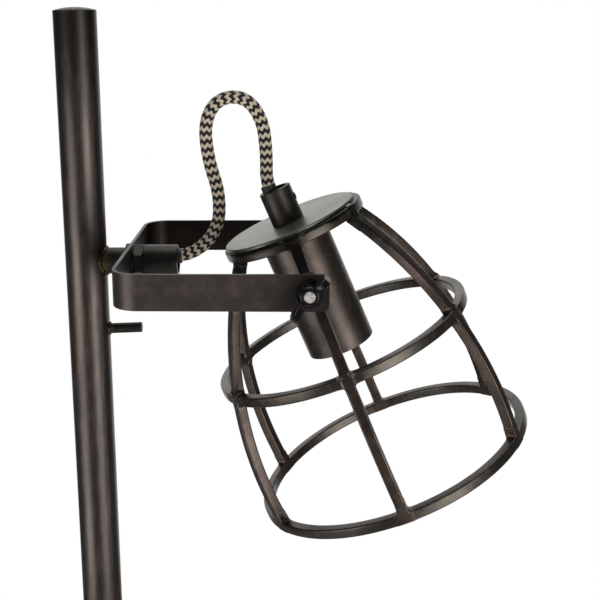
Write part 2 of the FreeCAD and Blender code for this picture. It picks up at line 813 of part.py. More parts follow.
def set_rib_arc():
    """Centre the rib arcs so that they run from the top ring's rim to the bottom ring's rim."""
    radius = S["rib_arc_radius"] + S["bar_size"] / 2
    high = S["disc_bottom"] - S["bar_size"]
    low = -S["bottom_ring_drop"]
    fall = high - low
    spread = S["bottom_ring_radius"] - S["top_ring_radius"]
    derive("rib_chord", (fall * fall + spread * spread).root())
    chord = S["rib_chord"]
    derive("rib_arc_depth", (radius * radius - chord * chord / 4).root())
    depth = S["rib_arc_depth"]
    derive("rib_centre_r", (S["bottom_ring_radius"] + S["top_ring_radius"]) / 2 - fall / chord * depth)
    derive("rib_centre_z", (high + low) / 2 - spread / chord * depth)
    middle = -S["mid_ring_drop"] - S["bar_size"] / 2
    derive("mid_ring_radius", rib_edge(radius, middle) - S["mid_ring_inset"])


def rib_edge(radius, z):
    """Distance from the head's axis to a rib arc at height z."""
    rise = as_size(z) - S["rib_centre_z"]
    return S["rib_centre_r"] + (radius * radius - rise * rise).root()


RIBS = ["rib_right_back", "rib_back", "rib_left_back", "rib_left_front", "rib_front", "rib_right_front"]
RIB_TURNS = {name: 30 + 60 * k for k, name in enumerate(RIBS)}


def build_ribs():
    """Six curved square bars from the top ring to the bottom ring."""
    half = S["bar_size"] / 2
    outer = S["rib_arc_radius"] + half
    inner = S["rib_arc_radius"] - half
    top = S["disc_bottom"] - S["bar_size"]
    low = -S["bottom_ring_drop"]
    section = [(rib_edge(outer, top), top), (rib_edge(outer, low), low), (rib_edge(inner, low), low),
               (rib_edge(inner, top), top)]
    for name, turn in RIB_TURNS.items():
        body = new_body(name)
        arcs = {0: (outer, -1), 2: (inner, 1)}
        pad(body, name + "_bar", "XZ_Plane", section, -half, S["bar_size"], arcs)
        keep(name, body, in_head(rotation=FreeCAD.Rotation(VEC(0, 0, 1), turn)))


def build_rings():
    """Top, middle and bottom rings of the cage."""
    bar = S["bar_size"]
    top = S["disc_bottom"]
    keep("cage_top_ring", tube("cage_top_ring", S["top_ring_radius"], S["top_ring_radius"] - bar,
                               top - bar, top), in_head())
    low = -S["bottom_ring_drop"]
    keep("cage_bottom_ring", tube("cage_bottom_ring", S["bottom_ring_radius"],
                                  S["bottom_ring_radius"] - bar, low - bar, low), in_head())

    middle = -S["mid_ring_drop"] - bar / 2
    rim = S["mid_ring_radius"]
    blank = tube("mid_ring_blank", rim, rim - bar, middle, middle + bar)
    blank.Placement = in_head()
    slots = []
    for turn in (30, 90, 150):
        slot = DOC.addObject("Part::Box", "mid_ring_slot_%d" % turn)
        bind(slot, "Length", (S["mid_ring_radius"] + 2) * 2)
        bind(slot, "Width", bar)
        bind(slot, "Height", bar + 2)
        corner = VEC(-float(S["mid_ring_radius"]) - 2, -float(bar) / 2, float(middle) - 1)
        about = FreeCAD.Placement(VEC(0, 0, 0), FreeCAD.Rotation(VEC(0, 0, 1), turn))
        slot.Placement = HEAD.multiply(about).multiply(FreeCAD.Placement(corner, FreeCAD.Rotation()))
        slots.append(slot)
    tool = DOC.addObject("Part::MultiFuse", "mid_ring_slots")
    tool.Shapes = slots
    keep("cage_mid_ring", boolean("Cut", "cage_mid_ring", blank, tool))


def fillet_bead(leg, length):
    """Weld bead with two flat legs along +X and +Z and a hollow face, lying along Y."""
    a, b = VEC(0, 0, 0), VEC(leg, 0, 0)
    c = VEC(0, 0, leg)
    dip = VEC(leg * 0.36, 0, leg * 0.36)
    wire = Part.Wire([Part.LineSegment(a, b).toShape(), Part.Arc(b, dip, c).toShape(),
                      Part.LineSegment(c, a).toShape()])
    bead = Part.Face(wire).extrude(VEC(0, length, 0))
    bead.translate(VEC(0, -length / 2.0, 0))
    return bead


def build_cage_welds():
    """Small weld beads in the corners where ribs meet rings."""
    bar = SIZES["bar_size"]
    leg = SIZES["weld_leg"]
    length = bar - 1.2
    bead = fillet_bead(leg, length)
    top = SIZES["disc_bottom"] - bar
    middle = -SIZES["mid_ring_drop"]
    low = -SIZES["bottom_ring_drop"]
    mid_rim = float(S["mid_ring_radius"])
    rows = [
        (top, -1, SIZES["top_ring_radius"] - bar / 2.0 - 0.4),
        (middle + bar / 2.0, 1, mid_rim - bar / 2.0 - 0.8),
        (middle - bar / 2.0, -1, mid_rim - bar / 2.0),
        (low, 1, SIZES["bottom_ring_radius"] - bar / 2.0 - 0.4),
    ]
    beads = []
    for turn in RIB_TURNS.values():
        about = FreeCAD.Placement(VEC(0, 0, 0), FreeCAD.Rotation(VEC(0, 0, 1), turn))
        for height, way, radius in rows:
            for side in (1, -1):
                across = VEC(0, side, 0)
                rotation = FreeCAD.Rotation(across, VEC(side * way * -1.0, 0, 0), VEC(0, 0, way), "ZXY")
                spot = FreeCAD.Placement(VEC(radius, side * bar / 2.0, height), rotation)
                piece = bead.copy()
                piece.Placement = HEAD.multiply(about).multiply(spot)
                beads.append(piece)
    item = DOC.addObject("Part::Feature", "cage_welds")
    item.Shape = Part.makeCompound(beads)
    keep("cage_welds", item)


# ------------------------------------------------------------ tilt pivots

def build_wing_nut(name, placement):
    """Wing nut, wings along its own X axis."""
    hub = S["wing_hub_base"]
    crown = S["wing_hub_top"]
    tall = S["wing_hub_height"]
    bore = S["stud_radius"] + S["clearance"]
    body = new_body(name)
    revolve(body, name + "_hub", [(bore, 0), (hub, 0), (hub, 1.6), (crown, tall - 0.6),
                                  (crown - 0.6, tall), (bore, tall)])
    reach = S["wing_reach"]
    tip = S["wing_tip"]
    thick = S["wing_thickness"]
    for side, turns in ((1, 1), (-1, -1)):
        wing = [(4.3, 1.0), (reach - 4.0, 2.4), (reach, tip - 4.6), (reach - 1.2, tip - 0.6),
                (reach - 3.6, tip - 0.4), (4.3, tall - 0.7)]
        wing = [(as_size(x) * side, y) for x, y in wing]
        arcs = {1: (as_size(7.5), turns), 2: (as_size(3.4), turns), 3: (as_size(1.5), turns)}
        pad(body, "%s_wing_%s" % (name, "a" if side > 0 else "b"), "XZ_Plane", wing, -thick / 2,
            thick, arcs)
    return keep(name, body, placement)


def build_pivots():
    """Studs on the front and back ribs with their washers and wing nuts."""
    angle = math.radians(SIZES["wing_angle"])
    along = VEC(math.cos(angle), 0, math.sin(angle))
    root = rib_edge(S["rib_arc_radius"] - S["bar_size"] / 2, -S["shoulder_radius"]) + 0.1
    inner_face = S["yoke_half_width"] - S["yoke_thickness"] - S["clearance"]
    outer_face = S["yoke_half_width"] + S["clearance"]
    shoulder = S["shoulder_radius"]
    size = S["stud_radius"]
    end = S["stud_end"]
    for name, way in (("front", -1), ("back", 1)):
        out = VEC(0, way, 0)
        rotation = FreeCAD.Rotation(along, out.cross(along), out, "ZXY")
        frame = FreeCAD.Placement(PIVOT, rotation)
        blank = turned("stud_blank_" + name, [
            (0, root), (shoulder, root), (shoulder, inner_face - 0.4), (shoulder - 0.4, inner_face),
            (size, inner_face), (size, end - 0.5), (size - 0.5, end), (0, end)])
        blank.Placement = frame
        rib = NODES["rib_" + name]
        keep("pivot_stud_" + name, boolean("Cut", "pivot_stud_" + name, blank, rib))
        washer = tube("pivot_washer_" + name, S["pivot_washer_radius"], size + S["clearance"],
                      outer_face, outer_face + S["pivot_washer_thickness"])
        keep("pivot_washer_" + name, washer, frame)
        seat = outer_face + S["pivot_washer_thickness"] + S["clearance"]
        shift = FreeCAD.Placement(VEC(0, 0, float(seat)), FreeCAD.Rotation())
        build_wing_nut("wing_nut_" + name, frame.multiply(shift))


# ------------------------------------------------------------------ export

def check_and_export():
    """Check every object and part, then write one file per part."""
    DOC.recompute()
    for item in DOC.Objects:
        if "Invalid" in item.State or "Error" in item.State:
            raise RuntimeError("%s is %s" % (item.Name, item.State))
    os.makedirs("parts", exist_ok=True)
    for name, item in NODES.items():
        shape = item.Shape
        if shape.isNull() or not shape.isValid() or not shape.Solids:
            raise RuntimeError("part %s has no valid solid" % name)
        shape.exportStep("parts/%s.step" % name)
        box = shape.BoundBox
        print("%-18s solids %2d volume %9.1f  x %7.1f %7.1f  y %7.1f %7.1f  z %7.1f %7.1f" % (
            name, len(shape.Solids), shape.Volume, box.XMin, box.XMax, box.YMin, box.YMax,
            box.ZMin, box.ZMax))
    print("parts", len(NODES))


build_base()
build_pole()
build_swivel()
build_pole_lead()
build_yoke_strap()
GRIP_START = build_swivel_fittings()
build_grip("yoke", on_swivel(GRIP_START))
HEAD_GRIP = build_head_top()
build_grip("head", HEAD_GRIP)
build_link_cord()
build_lampholder()
set_rib_arc()
build_ribs()
build_rings()
build_cage_welds()
build_pivots()
check_and_export()
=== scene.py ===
import logging
import math
from collections.abc import Callable
from dataclasses import dataclass
from enum import Enum

import bmesh
import bpy
import numpy as np
from mathutils import Matrix, Vector


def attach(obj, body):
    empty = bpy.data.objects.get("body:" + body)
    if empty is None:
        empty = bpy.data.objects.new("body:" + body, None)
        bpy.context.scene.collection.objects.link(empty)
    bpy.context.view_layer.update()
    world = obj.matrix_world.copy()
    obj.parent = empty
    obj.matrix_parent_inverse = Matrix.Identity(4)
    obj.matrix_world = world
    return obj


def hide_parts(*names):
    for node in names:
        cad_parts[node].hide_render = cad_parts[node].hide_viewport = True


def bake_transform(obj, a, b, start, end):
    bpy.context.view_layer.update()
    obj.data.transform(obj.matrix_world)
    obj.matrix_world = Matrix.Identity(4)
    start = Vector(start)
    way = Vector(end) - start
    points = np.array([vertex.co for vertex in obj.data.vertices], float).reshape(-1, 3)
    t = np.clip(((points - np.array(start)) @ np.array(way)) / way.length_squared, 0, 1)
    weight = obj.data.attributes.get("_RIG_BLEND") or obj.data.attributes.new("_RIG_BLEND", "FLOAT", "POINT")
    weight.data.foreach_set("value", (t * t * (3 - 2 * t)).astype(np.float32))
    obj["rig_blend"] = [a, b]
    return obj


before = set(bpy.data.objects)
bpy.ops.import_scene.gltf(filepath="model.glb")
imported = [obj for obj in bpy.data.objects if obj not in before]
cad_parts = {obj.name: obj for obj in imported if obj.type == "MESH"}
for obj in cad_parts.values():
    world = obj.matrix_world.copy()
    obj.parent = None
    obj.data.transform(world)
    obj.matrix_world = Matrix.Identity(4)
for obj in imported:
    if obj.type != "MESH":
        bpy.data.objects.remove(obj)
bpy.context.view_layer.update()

LOG = logging.getLogger("cage_lamp")
MM = 0.001
SWIVEL_HEIGHT = 1.350
PIVOT = Vector((0.1325, 0.0, SWIVEL_HEIGHT))
HEAD_TILT = math.radians(23.0)
HEAD = Matrix.Translation(PIVOT) @ Matrix.Rotation(-HEAD_TILT, 4, "Y")
HEAD_UP = Vector((-math.sin(HEAD_TILT), 0.0, math.cos(HEAD_TILT)))

# The ribs stand a sixth of a turn apart. Whole turns keep an angle's share above zero.
RIB_PITCH = math.pi / 3.0
WHOLE_TURNS = 12.0
# How copies of CAD meshes are merged, flattened, rounded and shaded.
MERGE_GAP = 2e-6
FLAT_ANGLE = math.radians(0.6)
EDGE_ANGLE = math.radians(32)
SHADE_ANGLE = math.radians(40)
CAST_ANGLE = math.radians(50)
FACE_WEIGHT = 80
IMAGE_SIDE = 600.0

Colour = tuple[float, float, float]
Place = tuple[float, float, float]


class Body(Enum):
    """Moving bodies of the lamp."""

    STAND = "stand"
    YOKE = "yoke"
    HEAD = "head"
    NUT_FRONT = "wing_nut_front"
    NUT_BACK = "wing_nut_back"


class Slot(Enum):
    """Material slots of the record."""

    STEEL = "burnished_steel"
    DISC = "disc_satin"
    WELD = "weld_heat"
    BLACK_STEEL = "black_steel"
    ZINC = "zinc_steel"
    PLASTIC = "black_plastic"
    RUBBER = "rubber_pad"
    CORD = "textile_cord"
    LEAD = "lead_sheath"
    BRASS = "brass_shell"
    NYLON = "nylon_liner"


# ------------------------------------------------------------------ node trees

class NodeSheet:
    """A node tree being filled, with short calls that add and join nodes."""

    def __init__(self, tree: bpy.types.NodeTree) -> None:
        """Start on an existing tree.

        Args:
            tree: The tree that takes the nodes.
        """
        self.tree = tree

    def add(self, kind: str, feed: dict | None = None, **settings: object) -> bpy.types.Node:
        """Add one node.

        Args:
            kind: The node's type name.
            feed: Values or sockets for its inputs, by name or index.
            **settings: Properties of the node.

        Returns:
            The new node.
        """
        node = self.tree.nodes.new(kind)
        for name, value in settings.items():
            setattr(node, name, value)
        for key, value in (feed or {}).items():
            self.join(value, node.inputs[key])
        return node

    def join(self, value: object, socket: bpy.types.NodeSocket) -> None:
        """Feed a socket with another socket or with a plain value.

        Args:
            value: A socket or a plain value.
            socket: The socket that takes it.
        """
        if isinstance(value, bpy.types.NodeSocket):
            self.tree.links.new(value, socket)
        else:
            socket.default_value = value

    def math(self, operation: str, first: object, second: object = 0.0,
             clamp: bool = False) -> bpy.types.NodeSocket:
        """Add a math node and give its result.

        Args:
            operation: The sum to do.
            first: Its first value or socket.
            second: Its second value or socket.
            clamp: Whether the result stays within 0 to 1.

        Returns:
            The result's socket.
        """
        node = self.add("ShaderNodeMath", {0: first, 1: second}, operation=operation,
                        use_clamp=clamp)
        return node.outputs[0]

    def vector(self, operation: str, first: object, second: object = None) -> bpy.types.Node:
        """Add a vector math node and give the node."""
        feed = {0: first} if second is None else {0: first, 1: second}
        return self.add("ShaderNodeVectorMath", feed, operation=operation)

    def mix(self, share: object, first: object, second: object) -> bpy.types.NodeSocket:
        """Blend two colours and give the result."""
        node = self.add("ShaderNodeMix", {0: share, 6: first, 7: second}, data_type="RGBA")
        return node.outputs[2]

    def spread(self, value: object, low: object, high: object, to_low: object,
               to_high: object, soft: bool = True) -> bpy.types.NodeSocket:
        """Map a range to another and give the result.

        Args:
            value: The value to map.
            low: Start of its range.
            high: End of its range.
            to_low: What the start becomes.
            to_high: What the end becomes.
            soft: Whether the ends are eased.

        Returns:
            The result's socket.
        """
        kind = "SMOOTHSTEP" if soft else "LINEAR"
        node = self.add("ShaderNodeMapRange", {0: value, 1: low, 2: high, 3: to_low, 4: to_high},
                        interpolation_type=kind)
        return node.outputs[0]

    def noise(self, vector: object, scale: object, detail: float = 2.0,
              rough: float = 0.5) -> bpy.types.NodeSocket:
        """Add a noise texture and give its value.

        Args:
            vector: Where the noise is read.
            scale: Its scale.
            detail: Its octaves.
            rough: Their roughness.

        Returns:
            The noise's socket.
        """
        node = self.add("ShaderNodeTexNoise", {"Vector": vector, "Scale": scale,
                                               "Detail": detail, "Roughness": rough})
        return node.outputs["Fac"]


class EffectGroup:
    """Base of the shader node groups that several finishes share."""

    title = "effect"
    inputs: tuple = ()
    outputs: tuple = ()

    @classmethod
    def tree(cls) -> bpy.types.NodeTree:
        """Give the group's tree, built the first time it is asked for.

        Returns:
            The group's tree.
        """
        found = bpy.data.node_groups.get(cls.title)
        if found is not None:
            return found
        tree = bpy.data.node_groups.new(cls.title, "ShaderNodeTree")
        for name, kind, start in cls.inputs:
            socket = tree.interface.new_socket(name, in_out="INPUT", socket_type=kind)
            if start is not None:
                socket.default_value = start
        for name, kind in cls.outputs:
            tree.interface.new_socket(name, in_out="OUTPUT", socket_type=kind)
        sheet = NodeSheet(tree)
        entry = sheet.add("NodeGroupInput")
        way_out = sheet.add("NodeGroupOutput")
        for name, socket in cls.fill(sheet, entry.outputs).items():
            sheet.join(socket, way_out.inputs[name])
        return tree

    @classmethod
    def fill(cls, sheet: NodeSheet, given: bpy.types.NodeOutputs) -> dict:
        """Add the effect's nodes and give its outputs by name."""
        raise NotImplementedError

    @classmethod
    def place(cls, sheet: NodeSheet, feed: dict) -> bpy.types.Node:
        """Put the group into a material with its own values.

        Args:
            sheet: The sheet that takes the nodes.
            feed: Values or sockets for the group's inputs, by name.

        Returns:
            The group's node in the material.
        """
        node = sheet.add("ShaderNodeGroup", node_tree=cls.tree())
        for name, value in feed.items():
            sheet.join(value, node.inputs[name])
        return node


class Burnish(EffectGroup):
    """Smoky blotches, worn patches and a fine grain of blackened steel."""

    title = "burnish"
    inputs = (("Vector", "NodeSocketVector", None),
              ("Body", "NodeSocketColor", (0.06, 0.05, 0.045, 1.0)),
              ("Smoke", "NodeSocketColor", (0.03, 0.027, 0.025, 1.0)),
              ("Rub", "NodeSocketColor", (0.12, 0.1, 0.09, 1.0)),
              ("Blotch", "NodeSocketFloat", 30.0),
              ("Stretch", "NodeSocketVector", (1.0, 1.0, 1.0)),
              ("Grain", "NodeSocketFloat", 2400.0), ("Fleck", "NodeSocketFloat", 0.25),
              ("Smooth", "NodeSocketFloat", 0.3),
              ("Rough", "NodeSocketFloat", 0.45))
    outputs = (("Color", "NodeSocketColor"), ("Roughness", "NodeSocketFloat"),
               ("Height", "NodeSocketFloat"))

    @classmethod
    def fill(cls, sheet: NodeSheet, given: bpy.types.NodeOutputs) -> dict:
        """Mix three sizes of noise.

        Args:
            sheet: The sheet that takes the nodes.
            given: The group's input sockets, by name.

        Returns:
            The output sockets, by name.
        """
        place = sheet.vector("MULTIPLY", given["Vector"], given["Stretch"]).outputs[0]
        broad = sheet.noise(place, given["Blotch"], 2.0, 0.5)
        middle = sheet.noise(place, sheet.math("MULTIPLY", given["Blotch"], 4.5), 2.0, 0.5)
        fine = sheet.noise(place, given["Grain"], 1.0, 0.5)
        speck = sheet.noise(place, sheet.math("MULTIPLY", given["Grain"], 0.35), 2.0, 0.6)
        smoke_and_shade = sheet.mix(sheet.spread(broad, 0.35, 0.65, 0.0, 1.0), given["Body"],
                           given["Smoke"])
        worn = sheet.spread(middle, 0.45, 0.75, 0.0, 0.6)
        rubbed = sheet.mix(worn, smoke_and_shade, given["Rub"])
        flecked = sheet.mix(sheet.spread(speck, 0.55, 0.8, 0.0, given["Fleck"]), rubbed,
                            given["Rub"])
        blend = sheet.math("ADD", sheet.math("MULTIPLY", broad, 0.5),
                           sheet.math("MULTIPLY", middle, 0.5))
        gloss = sheet.spread(blend, 0.3, 0.7, given["Smooth"], given["Rough"])
        height = sheet.math("ADD", sheet.math("MULTIPLY", fine, 0.6),
                            sheet.math("MULTIPLY", speck, 0.4))
        return {"Color": flecked, "Roughness": gloss, "Height": height}


class HeatStain(EffectGroup):
    """Straw to bronze rings left by welding round one spot."""

    title = "heat_stain"
    straw = (0.12, 0.082, 0.036, 1.0)
    bronze = (0.04, 0.032, 0.030, 1.0)
    inputs = (("Vector", "NodeSocketVector", None), ("Spot", "NodeSocketVector", None),
              ("Steel", "NodeSocketColor", (0.06, 0.05, 0.045, 1.0)),
              ("Reach", "NodeSocketFloat", 0.012))
    outputs = (("Color", "NodeSocketColor"),)

    @classmethod
    def fill(cls, sheet: NodeSheet, given: bpy.types.NodeOutputs) -> dict:
        """Colour by distance from the spot, broken up with noise.

        Args:
            sheet: The sheet that takes the nodes.
            given: The group's input sockets, by name.

        Returns:
            The output sockets, by name.
        """
        gap = sheet.vector("DISTANCE", given["Vector"], given["Spot"]).outputs["Value"]
        ripple = sheet.noise(given["Vector"], 420.0, 2.0, 0.6)
        uneven = sheet.math("ADD", gap, sheet.math("MULTIPLY", sheet.math("SUBTRACT", ripple, 0.5),
                                                   0.004))
        share = sheet.math("DIVIDE", uneven, given["Reach"])
        outer = sheet.mix(sheet.spread(share, 0.72, 1.0, 1.0, 0.0), given["Steel"], cls.straw)
        return {"Color": sheet.mix(sheet.spread(share, 0.35, 0.8, 0.55, 0.0), outer, cls.bronze)}


class JointShade(EffectGroup):
    """Band of tint across the cage bars at one height up the head's axis."""

    title = "joint_shade"
    inputs = (("Vector", "NodeSocketVector", None), ("Height", "NodeSocketFloat", 0.0),
              ("Reach", "NodeSocketFloat", 0.012))
    outputs = (("Mask", "NodeSocketFloat"),)

    @classmethod
    def fill(cls, sheet: NodeSheet, given: bpy.types.NodeOutputs) -> dict:
        """Fade with distance from the height, with an uneven edge.

        Args:
            sheet: The sheet that takes the nodes.
            given: The group's input sockets, by name.

        Returns:
            The output sockets, by name.
        """
        local = sheet.vector("SUBTRACT", given["Vector"], tuple(PIVOT)).outputs[0]
        height = sheet.vector("DOT_PRODUCT", local, tuple(HEAD_UP)).outputs["Value"]
        gap = sheet.math("ABSOLUTE", sheet.math("SUBTRACT", height, given["Height"]))
        ripple = sheet.noise(given["Vector"], 140.0, 2.0, 0.5)
        uneven = sheet.math("MULTIPLY", gap, sheet.spread(ripple, 0.3, 0.7, 0.6, 1.5))
        share = sheet.math("DIVIDE", uneven, given["Reach"])
        return {"Mask": sheet.spread(share, 0.2, 1.0, 1.0, 0.0)}


class JointSmear(EffectGroup):
    """Uneven patches on the rings where the six ribs are welded."""

    title = "joint_smear"
    inputs = (("Vector", "NodeSocketVector", None), ("Half Width", "NodeSocketFloat", 0.1))
    outputs = (("Mask", "NodeSocketFloat"),)

    @classmethod
    def fill(cls, sheet: NodeSheet, given: bpy.types.NodeOutputs) -> dict:
        """Measure the turn from the nearest rib round the head's axis.

        Args:
            sheet: The sheet that takes the nodes.
            given: The group's input sockets, by name.

        Returns:
            The output sockets, by name.
        """
        local = sheet.vector("SUBTRACT", given["Vector"], tuple(PIVOT)).outputs[0]
        across = (math.cos(HEAD_TILT), 0.0, math.sin(HEAD_TILT))
        out = sheet.vector("DOT_PRODUCT", local, across).outputs["Value"]
        side = sheet.vector("DOT_PRODUCT", local, (0.0, 1.0, 0.0)).outputs["Value"]
        turn = sheet.math("DIVIDE", sheet.math("ARCTAN2", side, out), RIB_PITCH)
        share = sheet.math("FRACT", sheet.math("ADD", turn, WHOLE_TURNS))
        gap = sheet.math("ABSOLUTE", sheet.math("SUBTRACT", share, 0.5))
        ripple = sheet.noise(given["Vector"], 130.0, 2.0, 0.5)
        uneven = sheet.math("MULTIPLY", gap, sheet.spread(ripple, 0.3, 0.7, 0.5, 1.6))
        near = sheet.math("DIVIDE", uneven, given["Half Width"])
        return {"Mask": sheet.spread(near, 0.75, 1.0, 1.0, 0.0)}


class Speckle(EffectGroup):
    """Fine crystalline specks, as on zinc plate and cast rubber."""

    title = "speckle"
    inputs = (("Vector", "NodeSocketVector", None), ("Light", "NodeSocketColor", (1, 1, 1, 1)),
              ("Dark", "NodeSocketColor", (0, 0, 0, 1)), ("Size", "NodeSocketFloat", 2500.0))
    outputs = (("Color", "NodeSocketColor"), ("Height", "NodeSocketFloat"))

    @classmethod
    def fill(cls, sheet: NodeSheet, given: bpy.types.NodeOutputs) -> dict:
        """Cells of light and dark with a fine noise over them.

        Args:
            sheet: The sheet that takes the nodes.
            given: The group's input sockets, by name.

        Returns:
            The output sockets, by name.
        """
        cells = sheet.add("ShaderNodeTexVoronoi", {"Vector": given["Vector"],
                                                   "Scale": given["Size"]})
        shade = sheet.add("ShaderNodeSeparateColor", {0: cells.outputs["Color"]})
        grain = sheet.noise(given["Vector"], sheet.math("MULTIPLY", given["Size"], 1.7), 2.0, 0.6)
        share = sheet.math("ADD", sheet.math("MULTIPLY", shade.outputs[0], 0.6),
                           sheet.math("MULTIPLY", grain, 0.4))
        return {"Color": sheet.mix(share, given["Dark"], given["Light"]), "Height": share}


class Chevron(EffectGroup):
    """Two-colour zigzag of a braided sheath, from the piece's own UV map."""

    title = "chevron"
    inputs = (("Around", "NodeSocketFloat", 0.0), ("Along", "NodeSocketFloat", 0.0),
              ("Teeth", "NodeSocketFloat", 7.0), ("Period", "NodeSocketFloat", 0.0048),
              ("Swing", "NodeSocketFloat", 0.0018), ("Light", "NodeSocketColor", (1, 1, 1, 1)),
              ("Dark", "NodeSocketColor", (0, 0, 0, 1)))
    outputs = (("Color", "NodeSocketColor"), ("Height", "NodeSocketFloat"))

    @classmethod
    def fill(cls, sheet: NodeSheet, given: bpy.types.NodeOutputs) -> dict:
        """Colour the stripes and shade their threads.

        Args:
            sheet: The sheet that takes the nodes.
            given: The group's input sockets, by name.

        Returns:
            The output sockets, by name.
        """
        turn = sheet.math("MULTIPLY", given["Around"], given["Teeth"])
        wave = sheet.math("PINGPONG", turn, 0.5)
        shift = sheet.math("MULTIPLY", sheet.math("MULTIPLY", wave, 2.0), given["Swing"])
        line = sheet.math("DIVIDE", sheet.math("ADD", given["Along"], shift), given["Period"])
        grid = sheet.add("ShaderNodeCombineXYZ", {0: given["Around"], 1: given["Along"]})
        fine = sheet.vector("MULTIPLY", grid.outputs[0], (24.0, 1000.0, 1.0)).outputs[0]
        fray = sheet.noise(fine, 2.4, 2.0, 0.6)
        ragged = sheet.math("ADD", line, sheet.math("MULTIPLY", sheet.math("SUBTRACT", fray, 0.5),
                                                    0.16))
        part = sheet.math("FRACT", ragged)
        edge = sheet.math("ABSOLUTE", sheet.math("SUBTRACT", part, 0.5))
        stripe = sheet.spread(edge, 0.215, 0.255, 0.0, 1.0)
        threads = sheet.math("SINE", sheet.math("MULTIPLY", line, 2.0 * math.pi * 6.0))
        # Painted shade in the grooves between the threads, in step with their relief.
        shade = sheet.spread(threads, -1.0, 1.0, 0.72, 1.06, soft=False)
        lint = sheet.spread(fray, 0.3, 0.75, 0.82, 1.12, soft=False)
        coloured = sheet.mix(stripe, given["Light"], given["Dark"])
        tone = sheet.math("MULTIPLY", shade, lint)
        toned = sheet.vector("MULTIPLY", coloured, sheet.add(
            "ShaderNodeCombineXYZ", {0: tone, 1: tone, 2: tone}).outputs[0]).outputs[0]
        return {"Color": toned, "Height": threads}


# --------------------------------------------------------------------- finishes

@dataclass(frozen=True)
class Finish:
    """A named finish that builds one material."""

    name: str
    slot: Slot

    def start(self) -> tuple[bpy.types.Material, NodeSheet, bpy.types.Node, bpy.types.NodeSocket]:
        """Make the material with its shader and object coordinates.

        Returns:
            The material, its sheet, its shader and the coordinates' socket.
        """
        material = bpy.data.materials.new(self.name)
        material.use_nodes = True
        sheet = NodeSheet(material.node_tree)
        shader = material.node_tree.nodes["Principled BSDF"]
        place = sheet.add("ShaderNodeTexCoord").outputs["Object"]
        return material, sheet, shader, place

    def bump(self, sheet: NodeSheet, shader: bpy.types.Node, height: bpy.types.NodeSocket,
             strength: float, depth: float) -> None:
        """Feed the shader's normal from a height.

        Args:
            sheet: The sheet that takes the nodes.
            shader: The material's shader.
            height: The height's socket.
            strength: Share of the full effect.
            depth: Height of the relief, in metres.
        """
        node = sheet.add("ShaderNodeBump", {"Height": height, "Strength": strength,
                                            "Distance": depth})
        sheet.join(node.outputs[0], shader.inputs["Normal"])


@dataclass(frozen=True)
class SteelFinish(Finish):
    """Blackened, burnished steel under a clear coat."""

    body: Colour = (0.066, 0.055, 0.047)
    smoke: Colour = (0.050, 0.043, 0.038)
    rub: Colour = (0.090, 0.073, 0.061)
    blotch: float = 42.0
    stretch: Place = (1.0, 1.0, 1.0)
    grain: float = 1900.0
    fleck: float = 0.25
    smooth: float = 0.42
    rough: float = 0.52
    metallic: float = 0.95
    coat: float = 0.05
    coat_rough: float = 0.22
    relief: float = 0.02
    relief_depth: float = 0.0002
    specular: float = 0.5
    stains: tuple[tuple[Vector, float], ...] = ()
    joints: tuple[tuple[float, float, Colour], ...] = ()
    smear: float = 0.0
    smear_tint: Colour = (0.074, 0.057, 0.047)

    def shade(self, sheet: NodeSheet, place: bpy.types.NodeSocket,
              colour: bpy.types.NodeSocket) -> bpy.types.NodeSocket:
        """Change the colour by place; plain steel leaves it as it is."""
        return colour

    def build(self) -> bpy.types.Material:
        """Make the steel's material.

        Returns:
            The material.
        """
        material, sheet, shader, place = self.start()
        burnish = Burnish.place(sheet, {"Vector": place, "Body": (*self.body, 1.0),
                                        "Smoke": (*self.smoke, 1.0), "Rub": (*self.rub, 1.0),
                                        "Blotch": self.blotch, "Stretch": self.stretch,
                                        "Grain": self.grain, "Fleck": self.fleck,
                                        "Smooth": self.smooth, "Rough": self.rough})
        colour = burnish.outputs["Color"]
        for height, reach, tint in self.joints:
            mask = JointShade.place(sheet, {"Vector": place, "Height": height, "Reach": reach})
            colour = sheet.mix(mask.outputs["Mask"], colour, (*tint, 1.0))
        for spot, reach in self.stains:
            stain = HeatStain.place(sheet, {"Vector": place, "Spot": tuple(spot), "Steel": colour,
                                            "Reach": reach})
            colour = stain.outputs["Color"]
        if self.smear > 0.0:
            patch = JointSmear.place(sheet, {"Vector": place, "Half Width": self.smear})
            colour = sheet.mix(patch.outputs["Mask"], colour, (*self.smear_tint, 1.0))
        sheet.join(self.shade(sheet, place, colour), shader.inputs["Base Color"])
        sheet.join(burnish.outputs["Roughness"], shader.inputs["Roughness"])
        shader.inputs["Metallic"].default_value = self.metallic
        shader.inputs["Coat Weight"].default_value = self.coat
        shader.inputs["Coat Roughness"].default_value = self.coat_rough
        shader.inputs["Specular IOR Level"].default_value = self.specular
        self.bump(sheet, shader, burnish.outputs["Height"], self.relief, self.relief_depth)
        return material


